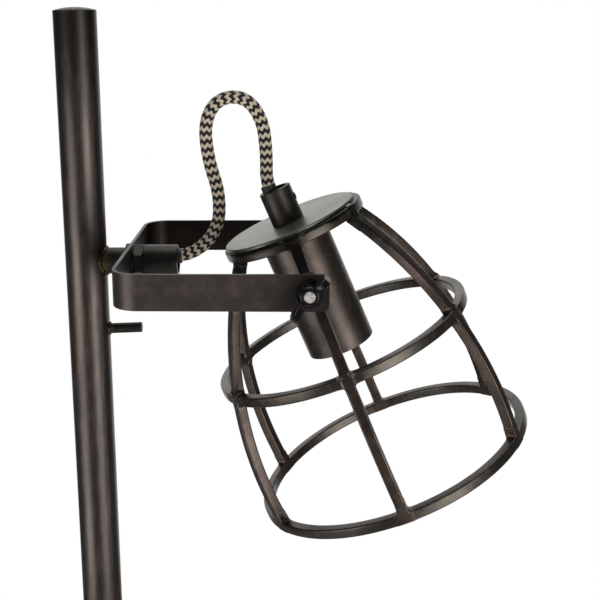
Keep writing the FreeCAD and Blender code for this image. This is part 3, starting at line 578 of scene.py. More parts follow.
@dataclass(frozen=True)
class StrapFinish(SteelFinish):
    """Strap steel, with painted shade on the inside of its bend and toward the ends of its arms."""

    # Where the painted shade on the inside of the bend lies, and how soft its edge is.
    bend_x: float = 0.0415
    bend_y: float = 0.060
    middle: float = 0.014
    blur: float = 0.0006
    # Tone of that painted shade.
    inner_shade_tone: float = 0.35
    # Painted shade toward the arms' ends: where it starts, where it is full, and its tone.
    unshaded_to: float = 0.095
    shaded_from: float = 0.145
    end_shade_tone: float = 0.40

    def shade(self, sheet: NodeSheet, place: bpy.types.NodeSocket,
              colour: bpy.types.NodeSocket) -> bpy.types.NodeSocket:
        """Paint shade on the inside of the bend and toward the ends.

        Args:
            sheet: The sheet that takes the nodes.
            place: The object's coordinates.
            colour: The steel's colour so far.

        Returns:
            The changed colour.
        """
        axes = sheet.add("ShaderNodeSeparateXYZ", {0: place})
        back = sheet.math("MAXIMUM", sheet.math("SUBTRACT", self.bend_x, axes.outputs[0]), 0.0)
        wide = sheet.math("SUBTRACT", sheet.math("ABSOLUTE", axes.outputs[1]), self.bend_y)
        aside = sheet.math("MAXIMUM", wide, 0.0)
        reach = sheet.math("SQRT", sheet.math("ADD", sheet.math("MULTIPLY", back, back),
                                              sheet.math("MULTIPLY", aside, aside)))
        # Painted shade on the inside faces of the bend.
        painted_inner_shade = sheet.spread(reach, self.middle - self.blur, self.middle, self.inner_shade_tone, 1.0)
        # Painted shade toward the arms' ends, by the wing nuts.
        smoke_and_shade = sheet.spread(axes.outputs[0], self.unshaded_to, self.shaded_from, 1.0,
                              self.end_shade_tone)
        tone = sheet.math("MULTIPLY", painted_inner_shade, smoke_and_shade)
        even = sheet.add("ShaderNodeCombineXYZ", {0: tone, 1: tone, 2: tone})
        return sheet.vector("MULTIPLY", colour, even.outputs[0]).outputs[0]


@dataclass(frozen=True)
class PoleFinish(SteelFinish):
    """Pole steel, with painted shade toward its top end."""

    # Painted shade: where it starts, where it is full, and its tone.
    unshaded_below: float = SWIVEL_HEIGHT + 0.070
    shaded_above: float = SWIVEL_HEIGHT + 0.142
    top_shade_tone: float = 0.42

    def shade(self, sheet: NodeSheet, place: bpy.types.NodeSocket,
              colour: bpy.types.NodeSocket) -> bpy.types.NodeSocket:
        """Paint shade toward the top end.

        Args:
            sheet: The sheet that takes the nodes.
            place: The object's coordinates.
            colour: The steel's colour so far.

        Returns:
            The changed colour.
        """
        # Painted shade over the top of the pole, where its highlights fade.
        up = sheet.add("ShaderNodeSeparateXYZ", {0: place}).outputs[2]
        tone = sheet.spread(up, self.unshaded_below, self.shaded_above, 1.0, self.top_shade_tone)
        even = sheet.add("ShaderNodeCombineXYZ", {0: tone, 1: tone, 2: tone})
        return sheet.vector("MULTIPLY", colour, even.outputs[0]).outputs[0]


@dataclass(frozen=True)
class SpeckledFinish(Finish):
    """Speckled surface: zinc plate, rubber, plastic, brass or nylon."""

    light: Colour = (0.6, 0.6, 0.6)
    dark: Colour = (0.4, 0.4, 0.4)
    size: float = 2500.0
    roughness: float = 0.4
    metallic: float = 0.0
    coat: float = 0.0
    relief: float = 0.2
    depth: float = 0.0002
    # Nearer the middle across y than this, the surface is one plain dark colour.
    speckled_beyond: float = 0.0
    inner_colour: Colour = (0.035, 0.031, 0.027)
    coat_rough: float = 0.12

    def build(self) -> bpy.types.Material:
        """Make the material.

        Returns:
            The material.
        """
        material, sheet, shader, place = self.start()
        specks = Speckle.place(sheet, {"Vector": place, "Light": (*self.light, 1.0),
                                       "Dark": (*self.dark, 1.0), "Size": self.size})
        colour = specks.outputs["Color"]
        # Inside the given distance across y, the specks give way to the plain dark colour.
        if self.speckled_beyond > 0.0:
            side = sheet.add("ShaderNodeSeparateXYZ", {0: place}).outputs[1]
            outer = sheet.math("GREATER_THAN", sheet.math("ABSOLUTE", side), self.speckled_beyond)
            colour = sheet.mix(outer, (*self.inner_colour, 1.0), colour)
        sheet.join(colour, shader.inputs["Base Color"])
        cloud = sheet.noise(place, self.size * 0.06, 3.0, 0.6)
        gloss = sheet.spread(cloud, 0.3, 0.7, self.roughness * 0.8, self.roughness * 1.2)
        sheet.join(gloss, shader.inputs["Roughness"])
        shader.inputs["Metallic"].default_value = self.metallic
        shader.inputs["Coat Weight"].default_value = self.coat
        shader.inputs["Coat Roughness"].default_value = self.coat_rough
        self.bump(sheet, shader, specks.outputs["Height"], self.relief, self.depth)
        return material


@dataclass(frozen=True)
class TextileFinish(Finish):
    """Braided cotton sheath in two colours."""

    light: Colour = (0.700, 0.590, 0.450)
    dark: Colour = (0.009, 0.008, 0.008)
    teeth: int = 7
    period: float = 0.0048
    swing: float = 0.0018
    roughness: float = 0.88
    sheen: float = 0.12
    sheen_rough: float = 0.5
    relief: float = 0.25
    relief_depth: float = 0.0002

    def build(self) -> bpy.types.Material:
        """Make the textile's material.

        Returns:
            The material.
        """
        material, sheet, shader, _ = self.start()
        chart = sheet.add("ShaderNodeUVMap", uv_map="sheath")
        axes = sheet.add("ShaderNodeSeparateXYZ", {0: chart.outputs[0]})
        weave = Chevron.place(sheet, {"Around": axes.outputs[0], "Along": axes.outputs[1],
                                      "Teeth": float(self.teeth), "Period": self.period,
                                      "Swing": self.swing, "Light": (*self.light, 1.0),
                                      "Dark": (*self.dark, 1.0)})
        sheet.join(weave.outputs["Color"], shader.inputs["Base Color"])
        shader.inputs["Roughness"].default_value = self.roughness
        shader.inputs["Sheen Weight"].default_value = self.sheen
        shader.inputs["Sheen Roughness"].default_value = self.sheen_rough
        self.bump(sheet, shader, weave.outputs["Height"], self.relief, self.relief_depth)
        return material


PEG_HEIGHT = SWIVEL_HEIGHT - 0.0425
SWIVEL_WELD_SPOT = Vector((0.0115, 0.0, SWIVEL_HEIGHT))
PEG_WELD_SPOT = Vector((0.0125, 0.0, PEG_HEIGHT))
SMOKED = (0.020, 0.018, 0.015)
BROWNED = (0.079, 0.060, 0.049)
# Near black, for the painted shade in the gap between the disc's rim and the top ring.
PAINTED_GAP_SHADE = (0.006, 0.006, 0.005)
# Height up the head's axis, reach and tint of each band across the cage's bars. The disc's band is painted
# shade in the gap under the disc's rim.
DISC_GAP_SHADE_BAND = (0.0244, 0.0021, PAINTED_GAP_SHADE)
CAGE_BANDS = ((0.0150, 0.022, SMOKED), (-0.0515, 0.010, BROWNED), (-0.130, 0.010, BROWNED),
              DISC_GAP_SHADE_BAND)


class Finishes:
    """Every material of the lamp, each made once."""

    def __init__(self) -> None:
        """Build the materials."""
        stains = ((SWIVEL_WELD_SPOT, 0.0094), (PEG_WELD_SPOT, 0.0046))
        # A darker copy of the steel, as painted shade over the swivel washers, lock nut, yoke grip, swivel
        # tube, stop peg and pole cap.
        dark = {"body": (0.036, 0.034, 0.030), "smoke": (0.027, 0.026, 0.023),
                "rub": (0.048, 0.046, 0.040), "smooth": 0.38, "rough": 0.47, "coat": 0.06}
        self.steel = SteelFinish("burnished_steel", Slot.STEEL).build()
        self.sleeve = SteelFinish("sleeve_steel", Slot.STEEL, body=(0.082, 0.066, 0.056),
                                  smoke=(0.062, 0.051, 0.044), rub=(0.118, 0.094, 0.080),
                                  blotch=55.0, smooth=0.40, rough=0.48).build()
        self.strap = StrapFinish("strap_steel", Slot.STEEL, body=(0.088, 0.070, 0.061),
                                 smoke=(0.070, 0.057, 0.050), rub=(0.112, 0.090, 0.078),
                                 blotch=30.0).build()
        self.shaded_dark_steel = SteelFinish("shaded_dark_steel", Slot.STEEL, **dark).build()
        self.tube = SteelFinish("tube_steel", Slot.STEEL, stains=stains, **dark).build()
        self.pole = PoleFinish("pole_steel", Slot.STEEL, stretch=(1.0, 1.0, 0.18), blotch=70.0,
                               smooth=0.36, rough=0.46, stains=stains,
                               body=(0.078, 0.063, 0.055), smoke=(0.056, 0.046, 0.041),
                               rub=(0.110, 0.088, 0.077), fleck=0.12).build()
        cage = {"smooth": 0.35, "rough": 0.45, "body": (0.086, 0.064, 0.053),
                "smoke": (0.056, 0.044, 0.037), "rub": (0.116, 0.087, 0.072), "coat": 0.06,
                "relief": 0.004, "fleck": 0.02}
        self.cage = SteelFinish("cage_steel", Slot.STEEL, joints=CAGE_BANDS, **cage).build()
        hoop = cage | {"body": (0.070, 0.060, 0.050), "smoke": (0.048, 0.045, 0.038)}
        # The top ring's face under the disc's rim takes the painted gap shade.
        self.ring = SteelFinish("ring_steel", Slot.STEEL, joints=(DISC_GAP_SHADE_BAND,), smear=0.12,
                                **hoop).build()
        self.disc = SteelFinish("disc_steel", Slot.DISC, body=(0.136, 0.141, 0.119),
                                smoke=(0.119, 0.124, 0.104), rub=(0.156, 0.161, 0.137),
                                smooth=0.38, rough=0.44, coat=0.1, relief=0.012).build()
        self.weld = SteelFinish("weld_bead", Slot.WELD, body=(0.085, 0.058, 0.028),
                                smoke=(0.030, 0.025, 0.020), rub=(0.22, 0.155, 0.065),
                                blotch=150.0, smooth=0.26, rough=0.36, coat=0.1).build()
        self.black_steel = SteelFinish("black_steel", Slot.BLACK_STEEL, body=(0.008, 0.008, 0.009),
                                       smoke=(0.005, 0.005, 0.006), rub=(0.016, 0.016, 0.018),
                                       metallic=0.1, smooth=0.16, rough=0.24, coat=0.0,
                                       relief=0.003, fleck=0.0, specular=0.28).build()
        self.zinc = SpeckledFinish("zinc_plate", Slot.ZINC, light=(0.80, 0.74, 0.72),
                                   dark=(0.36, 0.31, 0.30), size=1300.0, roughness=0.42,
                                   metallic=0.6).build()
        self.stud = SpeckledFinish("stud_zinc", Slot.ZINC, light=(1.0, 0.93, 0.91),
                                   dark=(0.20, 0.17, 0.16), size=1200.0, roughness=0.42,
                                   metallic=0.4, relief=0.5, speckled_beyond=0.0762).build()
        self.plastic = SpeckledFinish("moulded_black", Slot.PLASTIC, light=(0.022, 0.022, 0.023),
                                      dark=(0.012, 0.012, 0.013), size=3200.0, roughness=0.48,
                                      relief=0.35).build()
        self.rubber = SpeckledFinish("rubber_pad", Slot.RUBBER, light=(0.045, 0.045, 0.045),
                                     dark=(0.02, 0.02, 0.02), size=900.0, roughness=0.8).build()
        self.lead = SpeckledFinish("lead_sheath", Slot.LEAD, light=(0.05, 0.05, 0.05),
                                   dark=(0.03, 0.03, 0.03), size=1500.0, roughness=0.5).build()
        self.brass = SpeckledFinish("brass_shell", Slot.BRASS, light=(0.83, 0.66, 0.31),
                                    dark=(0.62, 0.46, 0.18), size=700.0, roughness=0.25,
                                    metallic=1.0).build()
        self.nylon = SpeckledFinish("nylon_liner", Slot.NYLON, light=(0.74, 0.72, 0.65),
                                    dark=(0.62, 0.60, 0.53), size=1200.0, roughness=0.4).build()
        self.cord = TextileFinish("textile_sheath", Slot.CORD).build()


# --------------------------------------------------------------- mesh helpers

class Bench:
    """Shared steps that turn meshes into finished pieces."""

    def __init__(self, finishes: Finishes) -> None:
        """Keep the materials at hand."""
        self.finishes = finishes

    def settle(self, piece: bpy.types.Object, material: bpy.types.Material,
               body: Body | None) -> bpy.types.Object:
        """Dress a piece and set it on its body.

        Args:
            piece: The object, with its place in its mesh.
            material: The material that covers it.
            body: The body it rides on, or None where it is blended later.

        Returns:
            The same object.
        """
        piece.data.materials.clear()
        piece.data.materials.append(material)
        if body is not None:
            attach(piece, body.value)
        count = sum(len(face.vertices) - 2 for face in piece.data.polygons)
        LOG.info("%s: %d triangles", piece.name, count)
        return piece

    def link(self, name: str, mesh: bpy.types.Mesh) -> bpy.types.Object:
        """Give a mesh its object.

        Args:
            name: The object's name.
            mesh: Its mesh.

        Returns:
            The object.
        """
        piece = bpy.data.objects.new(name, mesh)
        bpy.context.scene.collection.objects.link(piece)
        return piece

    def bake_down(self, piece: bpy.types.Object) -> bpy.types.Object:
        """Replace a piece's mesh by what its modifiers make of it.

        Args:
            piece: The object, with its modifiers.

        Returns:
            The same object, with a plain mesh.
        """
        graph = bpy.context.evaluated_depsgraph_get()
        graph.update()
        mesh = bpy.data.meshes.new_from_object(piece.evaluated_get(graph), depsgraph=graph)
        piece.modifiers.clear()
        piece.data = mesh
        return piece

    def melted(self, mesh: bpy.types.Mesh, voxel: float, passes: int) -> bpy.types.Mesh:
        """Flow overlapping solids into one skin with filled corners and soft edges.

        Args:
            mesh: The solids, which may run into each other.
            voxel: Size of the skin's facets, in metres.
            passes: Rounds of smoothing.

        Returns:
            The skin.
        """
        piece = self.link(mesh.name + "_melt", mesh)
        remesh = piece.modifiers.new("remesh", "REMESH")
        remesh.mode = "VOXEL"
        remesh.voxel_size = voxel
        smooth = piece.modifiers.new("smooth", "SMOOTH")
        smooth.factor = 0.5
        smooth.iterations = passes
        self.bake_down(piece)
        skin = piece.data
        bpy.data.objects.remove(piece)
        return skin

    def weigh(self, piece: bpy.types.Object) -> None:
        """Let large faces shade flat, so that only the roundings turn.

        Args:
            piece: The object.
        """
        step = piece.modifiers.new("weigh", "WEIGHTED_NORMAL")
        step.keep_sharp = True
        step.weight = FACE_WEIGHT
        self.bake_down(piece)

    def softened(self, node: str, material: bpy.types.Material, body: Body,
                 edge: float, segments: int = 2) -> bpy.types.Object:
        """Stand a copy of a CAD node in for it, with its sharp edges rounded.

        Args:
            node: The node's name.
            material: The material that covers the copy.
            body: The body it rides on.
            edge: Width of the rounding, in metres.
            segments: Steps across the rounding.

        Returns:
            The new piece.
        """
        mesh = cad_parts[node].data.copy()
        form = bmesh.new()
        form.from_mesh(mesh)
        bmesh.ops.remove_doubles(form, verts=form.verts, dist=MERGE_GAP)
        bmesh.ops.dissolve_limit(form, angle_limit=FLAT_ANGLE, verts=form.verts,
                                 edges=form.edges, use_dissolve_boundaries=False)
        sharp = [side for side in form.edges
                 if len(side.link_faces) == 2 and side.calc_face_angle(0.0) > EDGE_ANGLE]
        if edge > 0.0:
            bmesh.ops.bevel(form, geom=sharp, offset=edge, offset_type="OFFSET", segments=segments,
                            profile=0.5, affect="EDGES", clamp_overlap=True)
        bmesh.ops.triangulate(form, faces=[f for f in form.faces if len(f.verts) > 4])
        for face in form.faces:
            face.smooth = True
        form.to_mesh(mesh)
        form.free()
        for layer in list(mesh.attributes):
            if layer.name.startswith("custom_normal"):
                mesh.attributes.remove(layer)
        mesh.set_sharp_from_angle(angle=SHADE_ANGLE)
        piece = self.link("soft_" + node, mesh)
        self.weigh(piece)
        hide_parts(node)
        return self.settle(piece, material, body)

    def dress_node(self, node: str, material: bpy.types.Material) -> None:
        """Give a CAD node that stays its finished material.

        Args:
            node: The node's name.
            material: The material that covers it.
        """
        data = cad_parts[node].data
        data.materials.clear()
        data.materials.append(material)
        LOG.info("%s: node dressed in %s", node, material.name)


class Recipe:
    """A Geometry Nodes tree with named inputs, cast into plain meshes."""

    def __init__(self, name: str, sizes: dict[str, float | int]) -> None:
        """Start the tree.

        Args:
            name: The tree's name.
            sizes: Its inputs by name, with their usual values.
        """
        self.name = name
        tree = bpy.data.node_groups.new(name, "GeometryNodeTree")
        tree.interface.new_socket("Geometry", in_out="INPUT", socket_type="NodeSocketGeometry")
        tree.interface.new_socket("Geometry", in_out="OUTPUT", socket_type="NodeSocketGeometry")
        self.keys: dict[str, str] = {}
        for label, value in sizes.items():
            kind = "NodeSocketInt" if isinstance(value, int) else "NodeSocketFloat"
            socket = tree.interface.new_socket(label, in_out="INPUT", socket_type=kind)
            socket.default_value = value
            self.keys[label] = socket.identifier
        cover = tree.interface.new_socket("Material", in_out="INPUT",
                                          socket_type="NodeSocketMaterial")
        self.keys["Material"] = cover.identifier
        self.sheet = NodeSheet(tree)
        self.given = self.sheet.add("NodeGroupInput").outputs
        self.way_out = self.sheet.add("NodeGroupOutput")

    def close(self, geometry: bpy.types.NodeSocket) -> None:
        """End the tree with real geometry and its material.

        Args:
            geometry: What the tree has made.
        """
        real = self.sheet.add("GeometryNodeRealizeInstances", {0: geometry})
        covered = self.sheet.add("GeometryNodeSetMaterial", {"Geometry": real.outputs[0],
                                                             "Material": self.given["Material"]})
        self.sheet.join(covered.outputs[0], self.way_out.inputs[0])

    def cast(self, bench: Bench, name: str, values: dict[str, float | int],
             material: bpy.types.Material, place: Matrix,
             seed: bpy.types.Mesh | None = None) -> bpy.types.Object:
        """Make one piece from the tree.

        Args:
            bench: The bench that links the piece.
            name: The piece's name.
            values: Values of the tree's inputs.
            material: The material input.
            place: Where the mesh goes.
            seed: The mesh that the tree starts from, if it needs one.

        Returns:
            The piece, with a plain mesh.
        """
        piece = bench.link(name, seed or bpy.data.meshes.new(name + "_seed"))
        step = piece.modifiers.new(self.name, "NODES")
        step.node_group = self.sheet.tree
        for label, value in values.items():
            step[self.keys[label]] = value
        step[self.keys["Material"]] = material
        bench.bake_down(piece)
        piece.data.transform(place)
        for layer in [item for item in piece.data.attributes if item.name == "share"]:
            piece.data.attributes.remove(layer)
        for face in piece.data.polygons:
            face.use_smooth = True
        piece.data.set_sharp_from_angle(angle=CAST_ANGLE)
        bench.weigh(piece)
        return piece

    def rounded_square(self, width: object, corner: object) -> bpy.types.NodeSocket:
        """Add the section of a square bar with eased corners.

        Args:
            width: Width of the bar.
            corner: Radius of its corners.

        Returns:
            The section's curve.
        """
        square = self.sheet.add("GeometryNodeCurvePrimitiveQuadrilateral",
                                {"Width": width, "Height": width})
        eased = self.sheet.add("GeometryNodeFilletCurve", {"Curve": square.outputs[0]},
                               mode="POLY")
        self.sheet.join(corner, eased.inputs["Radius"])
        self.sheet.join(3, eased.inputs["Count"])
        return eased.outputs[0]


# ---------------------------------------------------------------- sub-assemblies

@dataclass
class TextileCord:
    """Braided cord that loops from the yoke's grip to the head's grip."""

    radius: float = 3.75 * MM
    length: float = 0.1874
    around: int = 56
    step: float = 0.00022
    thread: float = 0.0008
    ridge: float = 0.00010
    seam: float = 0.00012
    grip_rise: float = 0.00285
    head_side: float = -0.0039

    def route(self) -> list[Vector]:
        """Give the route's points, in metres.

        Returns:
            The points, from the yoke's grip to the head's.
        """
        rise = SWIVEL_HEIGHT + self.grip_rise
        lean = HEAD_TILT
        side = self.head_side

        def on_bush(up: float) -> Vector:
            """Point on the head bush's axis."""
            return Vector((PIVOT.x + side * math.cos(lean) - up * math.sin(lean), 0.0,
                           SWIVEL_HEIGHT + side * math.sin(lean) + up * math.cos(lean)))

        marks = [(0.0520, self.grip_rise), (0.0640, self.grip_rise), (0.0798, 0.0184),
                 (0.0811, 0.0398), (0.0746, 0.0600), (0.0726, 0.0820), (0.0806, 0.0956),
                 (0.0966, 0.0966), (0.1066, 0.0829), (0.1086, 0.0620)]
        points = [Vector((x, 0.0, SWIVEL_HEIGHT + z)) for x, z in marks]
        points[0].z = points[1].z = rise
        return points + [on_bush(0.0530), on_bush(0.0440)]

    def centreline(self) -> list[Vector]:
        """Give even points along the route's own spline.

        Returns:
            The points, one step apart.
        """
        curve = bpy.data.curves.new("cord_line", "CURVE")
        curve.dimensions = "3D"
        curve.resolution_u = 24
        spline = curve.splines.new("NURBS")
        route = self.route()
        spline.points.add(len(route) - 1)
        for knot, point in zip(spline.points, route):
            knot.co = (*point, 1.0)
        spline.order_u = 3
        spline.use_endpoint_u = True
        holder = bpy.data.objects.new("cord_line", curve)
        line = bpy.data.meshes.new_from_object(holder)
        dense = [vert.co.copy() for vert in line.vertices]
        bpy.data.objects.remove(holder)
        gaps = [0.0]
        for a, b in zip(dense, dense[1:]):
            gaps.append(gaps[-1] + (b - a).length)
        count = int(gaps[-1] / self.step)
        marks = np.linspace(0.0, gaps[-1], count + 1)
        axes = [np.interp(marks, gaps, [point[k] for point in dense]) for k in range(3)]
        return [Vector(point) for point in zip(*axes)]

    def relief(self, turn: float, along: float, finish: TextileFinish) -> float:
        """Give the braid's height at one spot of the sheath.

        Args:
            turn: Share of the way round, 0 to 1.
            along: Distance along the cord, in metres.
            finish: The sheath's finish, which holds the pattern's sizes.

        Returns:
            Height above the mean radius, in metres.
        """
        teeth = turn * finish.teeth
        wave = abs(teeth % 1.0 - 0.5) * 2.0
        line = along + (1.0 - wave) * finish.swing
        swell = abs(math.sin(math.pi * line / self.thread))
        beside = min(wave, 1.0 - wave) * 2.0
        return self.ridge * (swell - 0.6) - self.seam * max(0.0, 1.0 - beside * 5.0)

    def build(self, bench: Bench) -> None:
        """Args:
            bench: The bench that finishes the pieces.
        """
        finish = TextileFinish("textile_sheath", Slot.CORD)
        line = self.centreline()
        form = bmesh.new()
        chart = form.loops.layers.uv.new("sheath")
        across = Vector((0.0, 1.0, 0.0))
        rings = []
        for k, point in enumerate(line):
            ahead = (line[min(k + 1, len(line) - 1)] - line[max(k - 1, 0)]).normalized()
            out = ahead.cross(across).normalized()
            ring = []
            for j in range(self.around):
                turn = j / self.around
                angle = 2.0 * math.pi * turn
                reach = self.radius + self.relief(turn, k * self.step, finish)
                ring.append(form.verts.new(point + (out * math.cos(angle)
                                                    + across * math.sin(angle)) * reach))
            rings.append(ring)
        for k in range(len(rings) - 1):
            for j in range(self.around):
                after = (j + 1) % self.around
                face = form.faces.new((rings[k][j], rings[k + 1][j], rings[k + 1][after],
                                       rings[k][after]))
                corners = ((j, k), (j, k + 1), (j + 1, k + 1), (j + 1, k))
                for loop, (u, v) in zip(face.loops, corners):
                    loop[chart].uv = (u / self.around, v * self.step)
                face.smooth = True
        form.faces.new(list(reversed(rings[0])))
        form.faces.new(rings[-1])
        bmesh.ops.recalc_face_normals(form, faces=form.faces)
        mesh = bpy.data.meshes.new("textile_cord")
        form.to_mesh(mesh)
        form.free()
        piece = bench.link("textile_cord", mesh)
        bench.settle(piece, bench.finishes.cord, None)
        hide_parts("link_cord")
        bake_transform(piece, Body.YOKE.value, Body.HEAD.value,
                 start=(0.0381, 0.0, SWIVEL_HEIGHT + 0.0081),
                 end=(0.0859, 0.0, SWIVEL_HEIGHT + 0.0679))


@dataclass
class Cage:
    """Six curved ribs, three rings and their welds."""

    bar: float = 6.0 * MM
    corner: float = 1.0 * MM
    rib_radius: float = 205.0 * MM
    top: float = 18.8 * MM
    low: float = -130.0 * MM
    top_rim: float = 42.8 * MM
    low_rim: float = 84.6 * MM
    mid_rim: float = 78.2 * MM
    mid_height: float = -51.5 * MM
    disc_rim: float = 40.1 * MM
    tack_turn: float = -31.0
    dip: float = 1.0 * MM
    dip_near: float = 4.0 * MM
    dip_far: float = 8.5 * MM
    build_up: float = 0.10 * MM
    sink: float = 0.40 * MM
    stub_steps: int = 24
    top_leg: float = 3.6 * MM
    low_leg: float = 2.2 * MM
    voxel: float = 0.37 * MM
    passes: int = 5
    tack_size: Place = (1.9 * MM, 2.6 * MM, 0.8 * MM)
    count: int = 6
    first_turn: float = 30.0
    ribs: tuple[str, ...] = ("rib_right_back", "rib_back", "rib_left_back", "rib_left_front",
                             "rib_front", "rib_right_front")

    def arc_centre(self) -> tuple[float, float]:
        """Give the rib arcs' centre, out from the axis and up it.

        Returns:
            Distance out from the head's axis, and height up it.
        """
        radius = self.rib_radius + self.bar / 2
        fall = self.top - self.low
        spread = self.low_rim - self.top_rim
        chord = math.hypot(fall, spread)
        depth = math.sqrt(radius ** 2 - chord ** 2 / 4)
        return ((self.low_rim + self.top_rim) / 2 - fall / chord * depth,
                (self.top + self.low) / 2 - spread / chord * depth)

    def rib_recipe(self) -> Recipe:
        """Build the tree that bends one bar, mitres its ends level and repeats it.

        Returns:
            The recipe.
        """
        recipe = Recipe("cage_ribs", {"Arc Radius": 0.205, "Centre Out": 0.0, "Centre Up": 0.0,
                                      "Start": 0.0, "Sweep": 1.0, "Bar": 0.006, "Corner": 0.0005,
                                      "Top": 0.0, "Low": 0.0, "Count": 6, "First Turn": 0.5})
        sheet, given = recipe.sheet, recipe.given
        arc = sheet.add("GeometryNodeCurveArc", {"Resolution": 72, "Radius": given["Arc Radius"],
                                                 "Start Angle": given["Start"],
                                                 "Sweep Angle": given["Sweep"]}, mode="RADIUS")
        level = sheet.add("GeometryNodeSetCurveNormal", {"Curve": arc.outputs[0]}, mode="Z_UP")
        share = sheet.add("GeometryNodeSplineParameter").outputs["Factor"]
        marked = sheet.add("GeometryNodeStoreNamedAttribute", {
            "Geometry": level.outputs[0], "Name": "share", "Value": share})
        bar = sheet.add("GeometryNodeCurveToMesh", {
            "Curve": marked.outputs[0],
            "Profile Curve": recipe.rounded_square(given["Bar"], given["Corner"]),
            "Fill Caps": True})
        shift = sheet.add("ShaderNodeCombineXYZ", {0: given["Centre Out"],
                                                   2: given["Centre Up"]})
        upright = sheet.add("GeometryNodeTransform", {"Geometry": bar.outputs[0],
                                                      "Translation": shift.outputs[0],
                                                      "Rotation": (math.pi / 2, 0.0, 0.0)})
        solid = upright.outputs[0]
        after = sheet.math("ADD", given["Start"], given["Sweep"])
        for angle, level_at, low, high in ((given["Start"], given["Low"], -1.0, 0.0001),
                                           (after, given["Top"], 0.9999, 2.0)):
            solid = self.mitre(sheet, solid, angle, level_at, low, high)
        spots = sheet.add("GeometryNodePoints", {"Count": given["Count"]})
        index = sheet.add("GeometryNodeInputIndex").outputs[0]
        pitch = sheet.math("DIVIDE", 2.0 * math.pi, given["Count"])
        turn = sheet.math("ADD", sheet.math("MULTIPLY", index, pitch), given["First Turn"])
        about = sheet.add("ShaderNodeCombineXYZ", {2: turn})
        placed = sheet.add("GeometryNodeInstanceOnPoints", {"Points": spots.outputs[0],
                                                            "Instance": solid,
                                                            "Rotation": about.outputs[0]})
        recipe.close(placed.outputs[0])
        return recipe

    def mitre(self, sheet: NodeSheet, solid: bpy.types.NodeSocket, angle: bpy.types.NodeSocket,
              height: bpy.types.NodeSocket, low: float, high: float) -> bpy.types.NodeSocket:
        """Slide a bar's end along its own line until it lies level.

        Args:
            sheet: The tree's sheet.
            solid: The bar, upright in its own plane.
            angle: The arc's angle at this end.
            height: The height that the end takes.
            low: Least share of the bar's length that moves.
            high: Greatest share of the bar's length that moves.

        Returns:
            The bar with that end mitred.
        """
        place = sheet.add("GeometryNodeInputPosition").outputs[0]
        up = sheet.add("ShaderNodeSeparateXYZ", {0: place}).outputs[2]
        rise = sheet.math("COSINE", angle)
        out = sheet.math("MULTIPLY", sheet.math("SINE", angle), -1.0)
        slide = sheet.math("DIVIDE", sheet.math("SUBTRACT", height, up), rise)
        move = sheet.add("ShaderNodeCombineXYZ", {0: sheet.math("MULTIPLY", slide, out),
                                                  2: sheet.math("MULTIPLY", slide, rise)})
        share = sheet.add("GeometryNodeInputNamedAttribute", {"Name": "share"},
                          data_type="FLOAT").outputs[0]
        end = sheet.math("MULTIPLY", sheet.math("GREATER_THAN", share, low),
                         sheet.math("LESS_THAN", share, high))
        moved = sheet.add("GeometryNodeSetPosition", {"Geometry": solid, "Selection": end,
                                                      "Offset": move.outputs[0]})
        return moved.outputs[0]

    def ring_recipe(self) -> Recipe:
        """Build the tree that bends a square bar into a ring, drawn in a little at the ribs.

        Returns:
            The recipe.
        """
        recipe = Recipe("cage_rings", {"Rim": 0.08, "Middle": 0.0, "Bar": 0.006, "Corner": 0.0005,
                                       "Dip": 0.0, "Near": 0.004, "Far": 0.0085})
        sheet, given = recipe.sheet, recipe.given
        radius = sheet.math("SUBTRACT", given["Rim"], sheet.math("MULTIPLY", given["Bar"], 0.5))
        line = sheet.add("GeometryNodeCurvePrimitiveCircle", {"Resolution": 240,
                                                              "Radius": radius}, mode="RADIUS")
        bar = sheet.add("GeometryNodeCurveToMesh", {
            "Curve": line.outputs[0],
            "Profile Curve": recipe.rounded_square(given["Bar"], given["Corner"])})
        place = sheet.add("GeometryNodeInputPosition").outputs[0]
        axes = sheet.add("ShaderNodeSeparateXYZ", {0: place})
        turn = sheet.math("DIVIDE", sheet.math("ARCTAN2", axes.outputs[1], axes.outputs[0]),
                          RIB_PITCH)
        share = sheet.math("FRACT", sheet.math("ADD", turn, WHOLE_TURNS))
        gap = sheet.math("ABSOLUTE", sheet.math("SUBTRACT", share, 0.5))
        along = sheet.math("MULTIPLY", sheet.math("MULTIPLY", gap, RIB_PITCH), given["Rim"])
        near = sheet.spread(along, given["Near"], given["Far"], 1.0, 0.0)
        flat = sheet.vector("MULTIPLY", place, (1.0, 1.0, 0.0)).outputs[0]
        reach = sheet.vector("LENGTH", flat)
        beyond = sheet.math("SUBTRACT", reach.outputs["Value"], radius)
        outer = sheet.math("DIVIDE", beyond, sheet.math("MULTIPLY", given["Bar"], 0.5), clamp=True)
        above = sheet.math("DIVIDE", axes.outputs[2], given["Bar"])
        upper = sheet.math("ADD", above, 0.5, clamp=True)
        depth = sheet.math("MULTIPLY", sheet.math("MULTIPLY", near, outer),
                           sheet.math("MULTIPLY", upper, given["Dip"]))
        inward = sheet.math("DIVIDE", sheet.math("MULTIPLY", depth, -1.0), reach.outputs["Value"])
        move = sheet.add("ShaderNodeVectorMath", {0: flat, "Scale": inward}, operation="SCALE")
        dipped = sheet.add("GeometryNodeSetPosition", {"Geometry": bar.outputs[0],
                                                       "Offset": move.outputs[0]})
        rise = sheet.add("ShaderNodeCombineXYZ", {2: given["Middle"]})
        raised = sheet.add("GeometryNodeTransform", {"Geometry": dipped.outputs[0],
                                                     "Translation": rise.outputs[0]})
        recipe.close(raised.outputs[0])
        return recipe

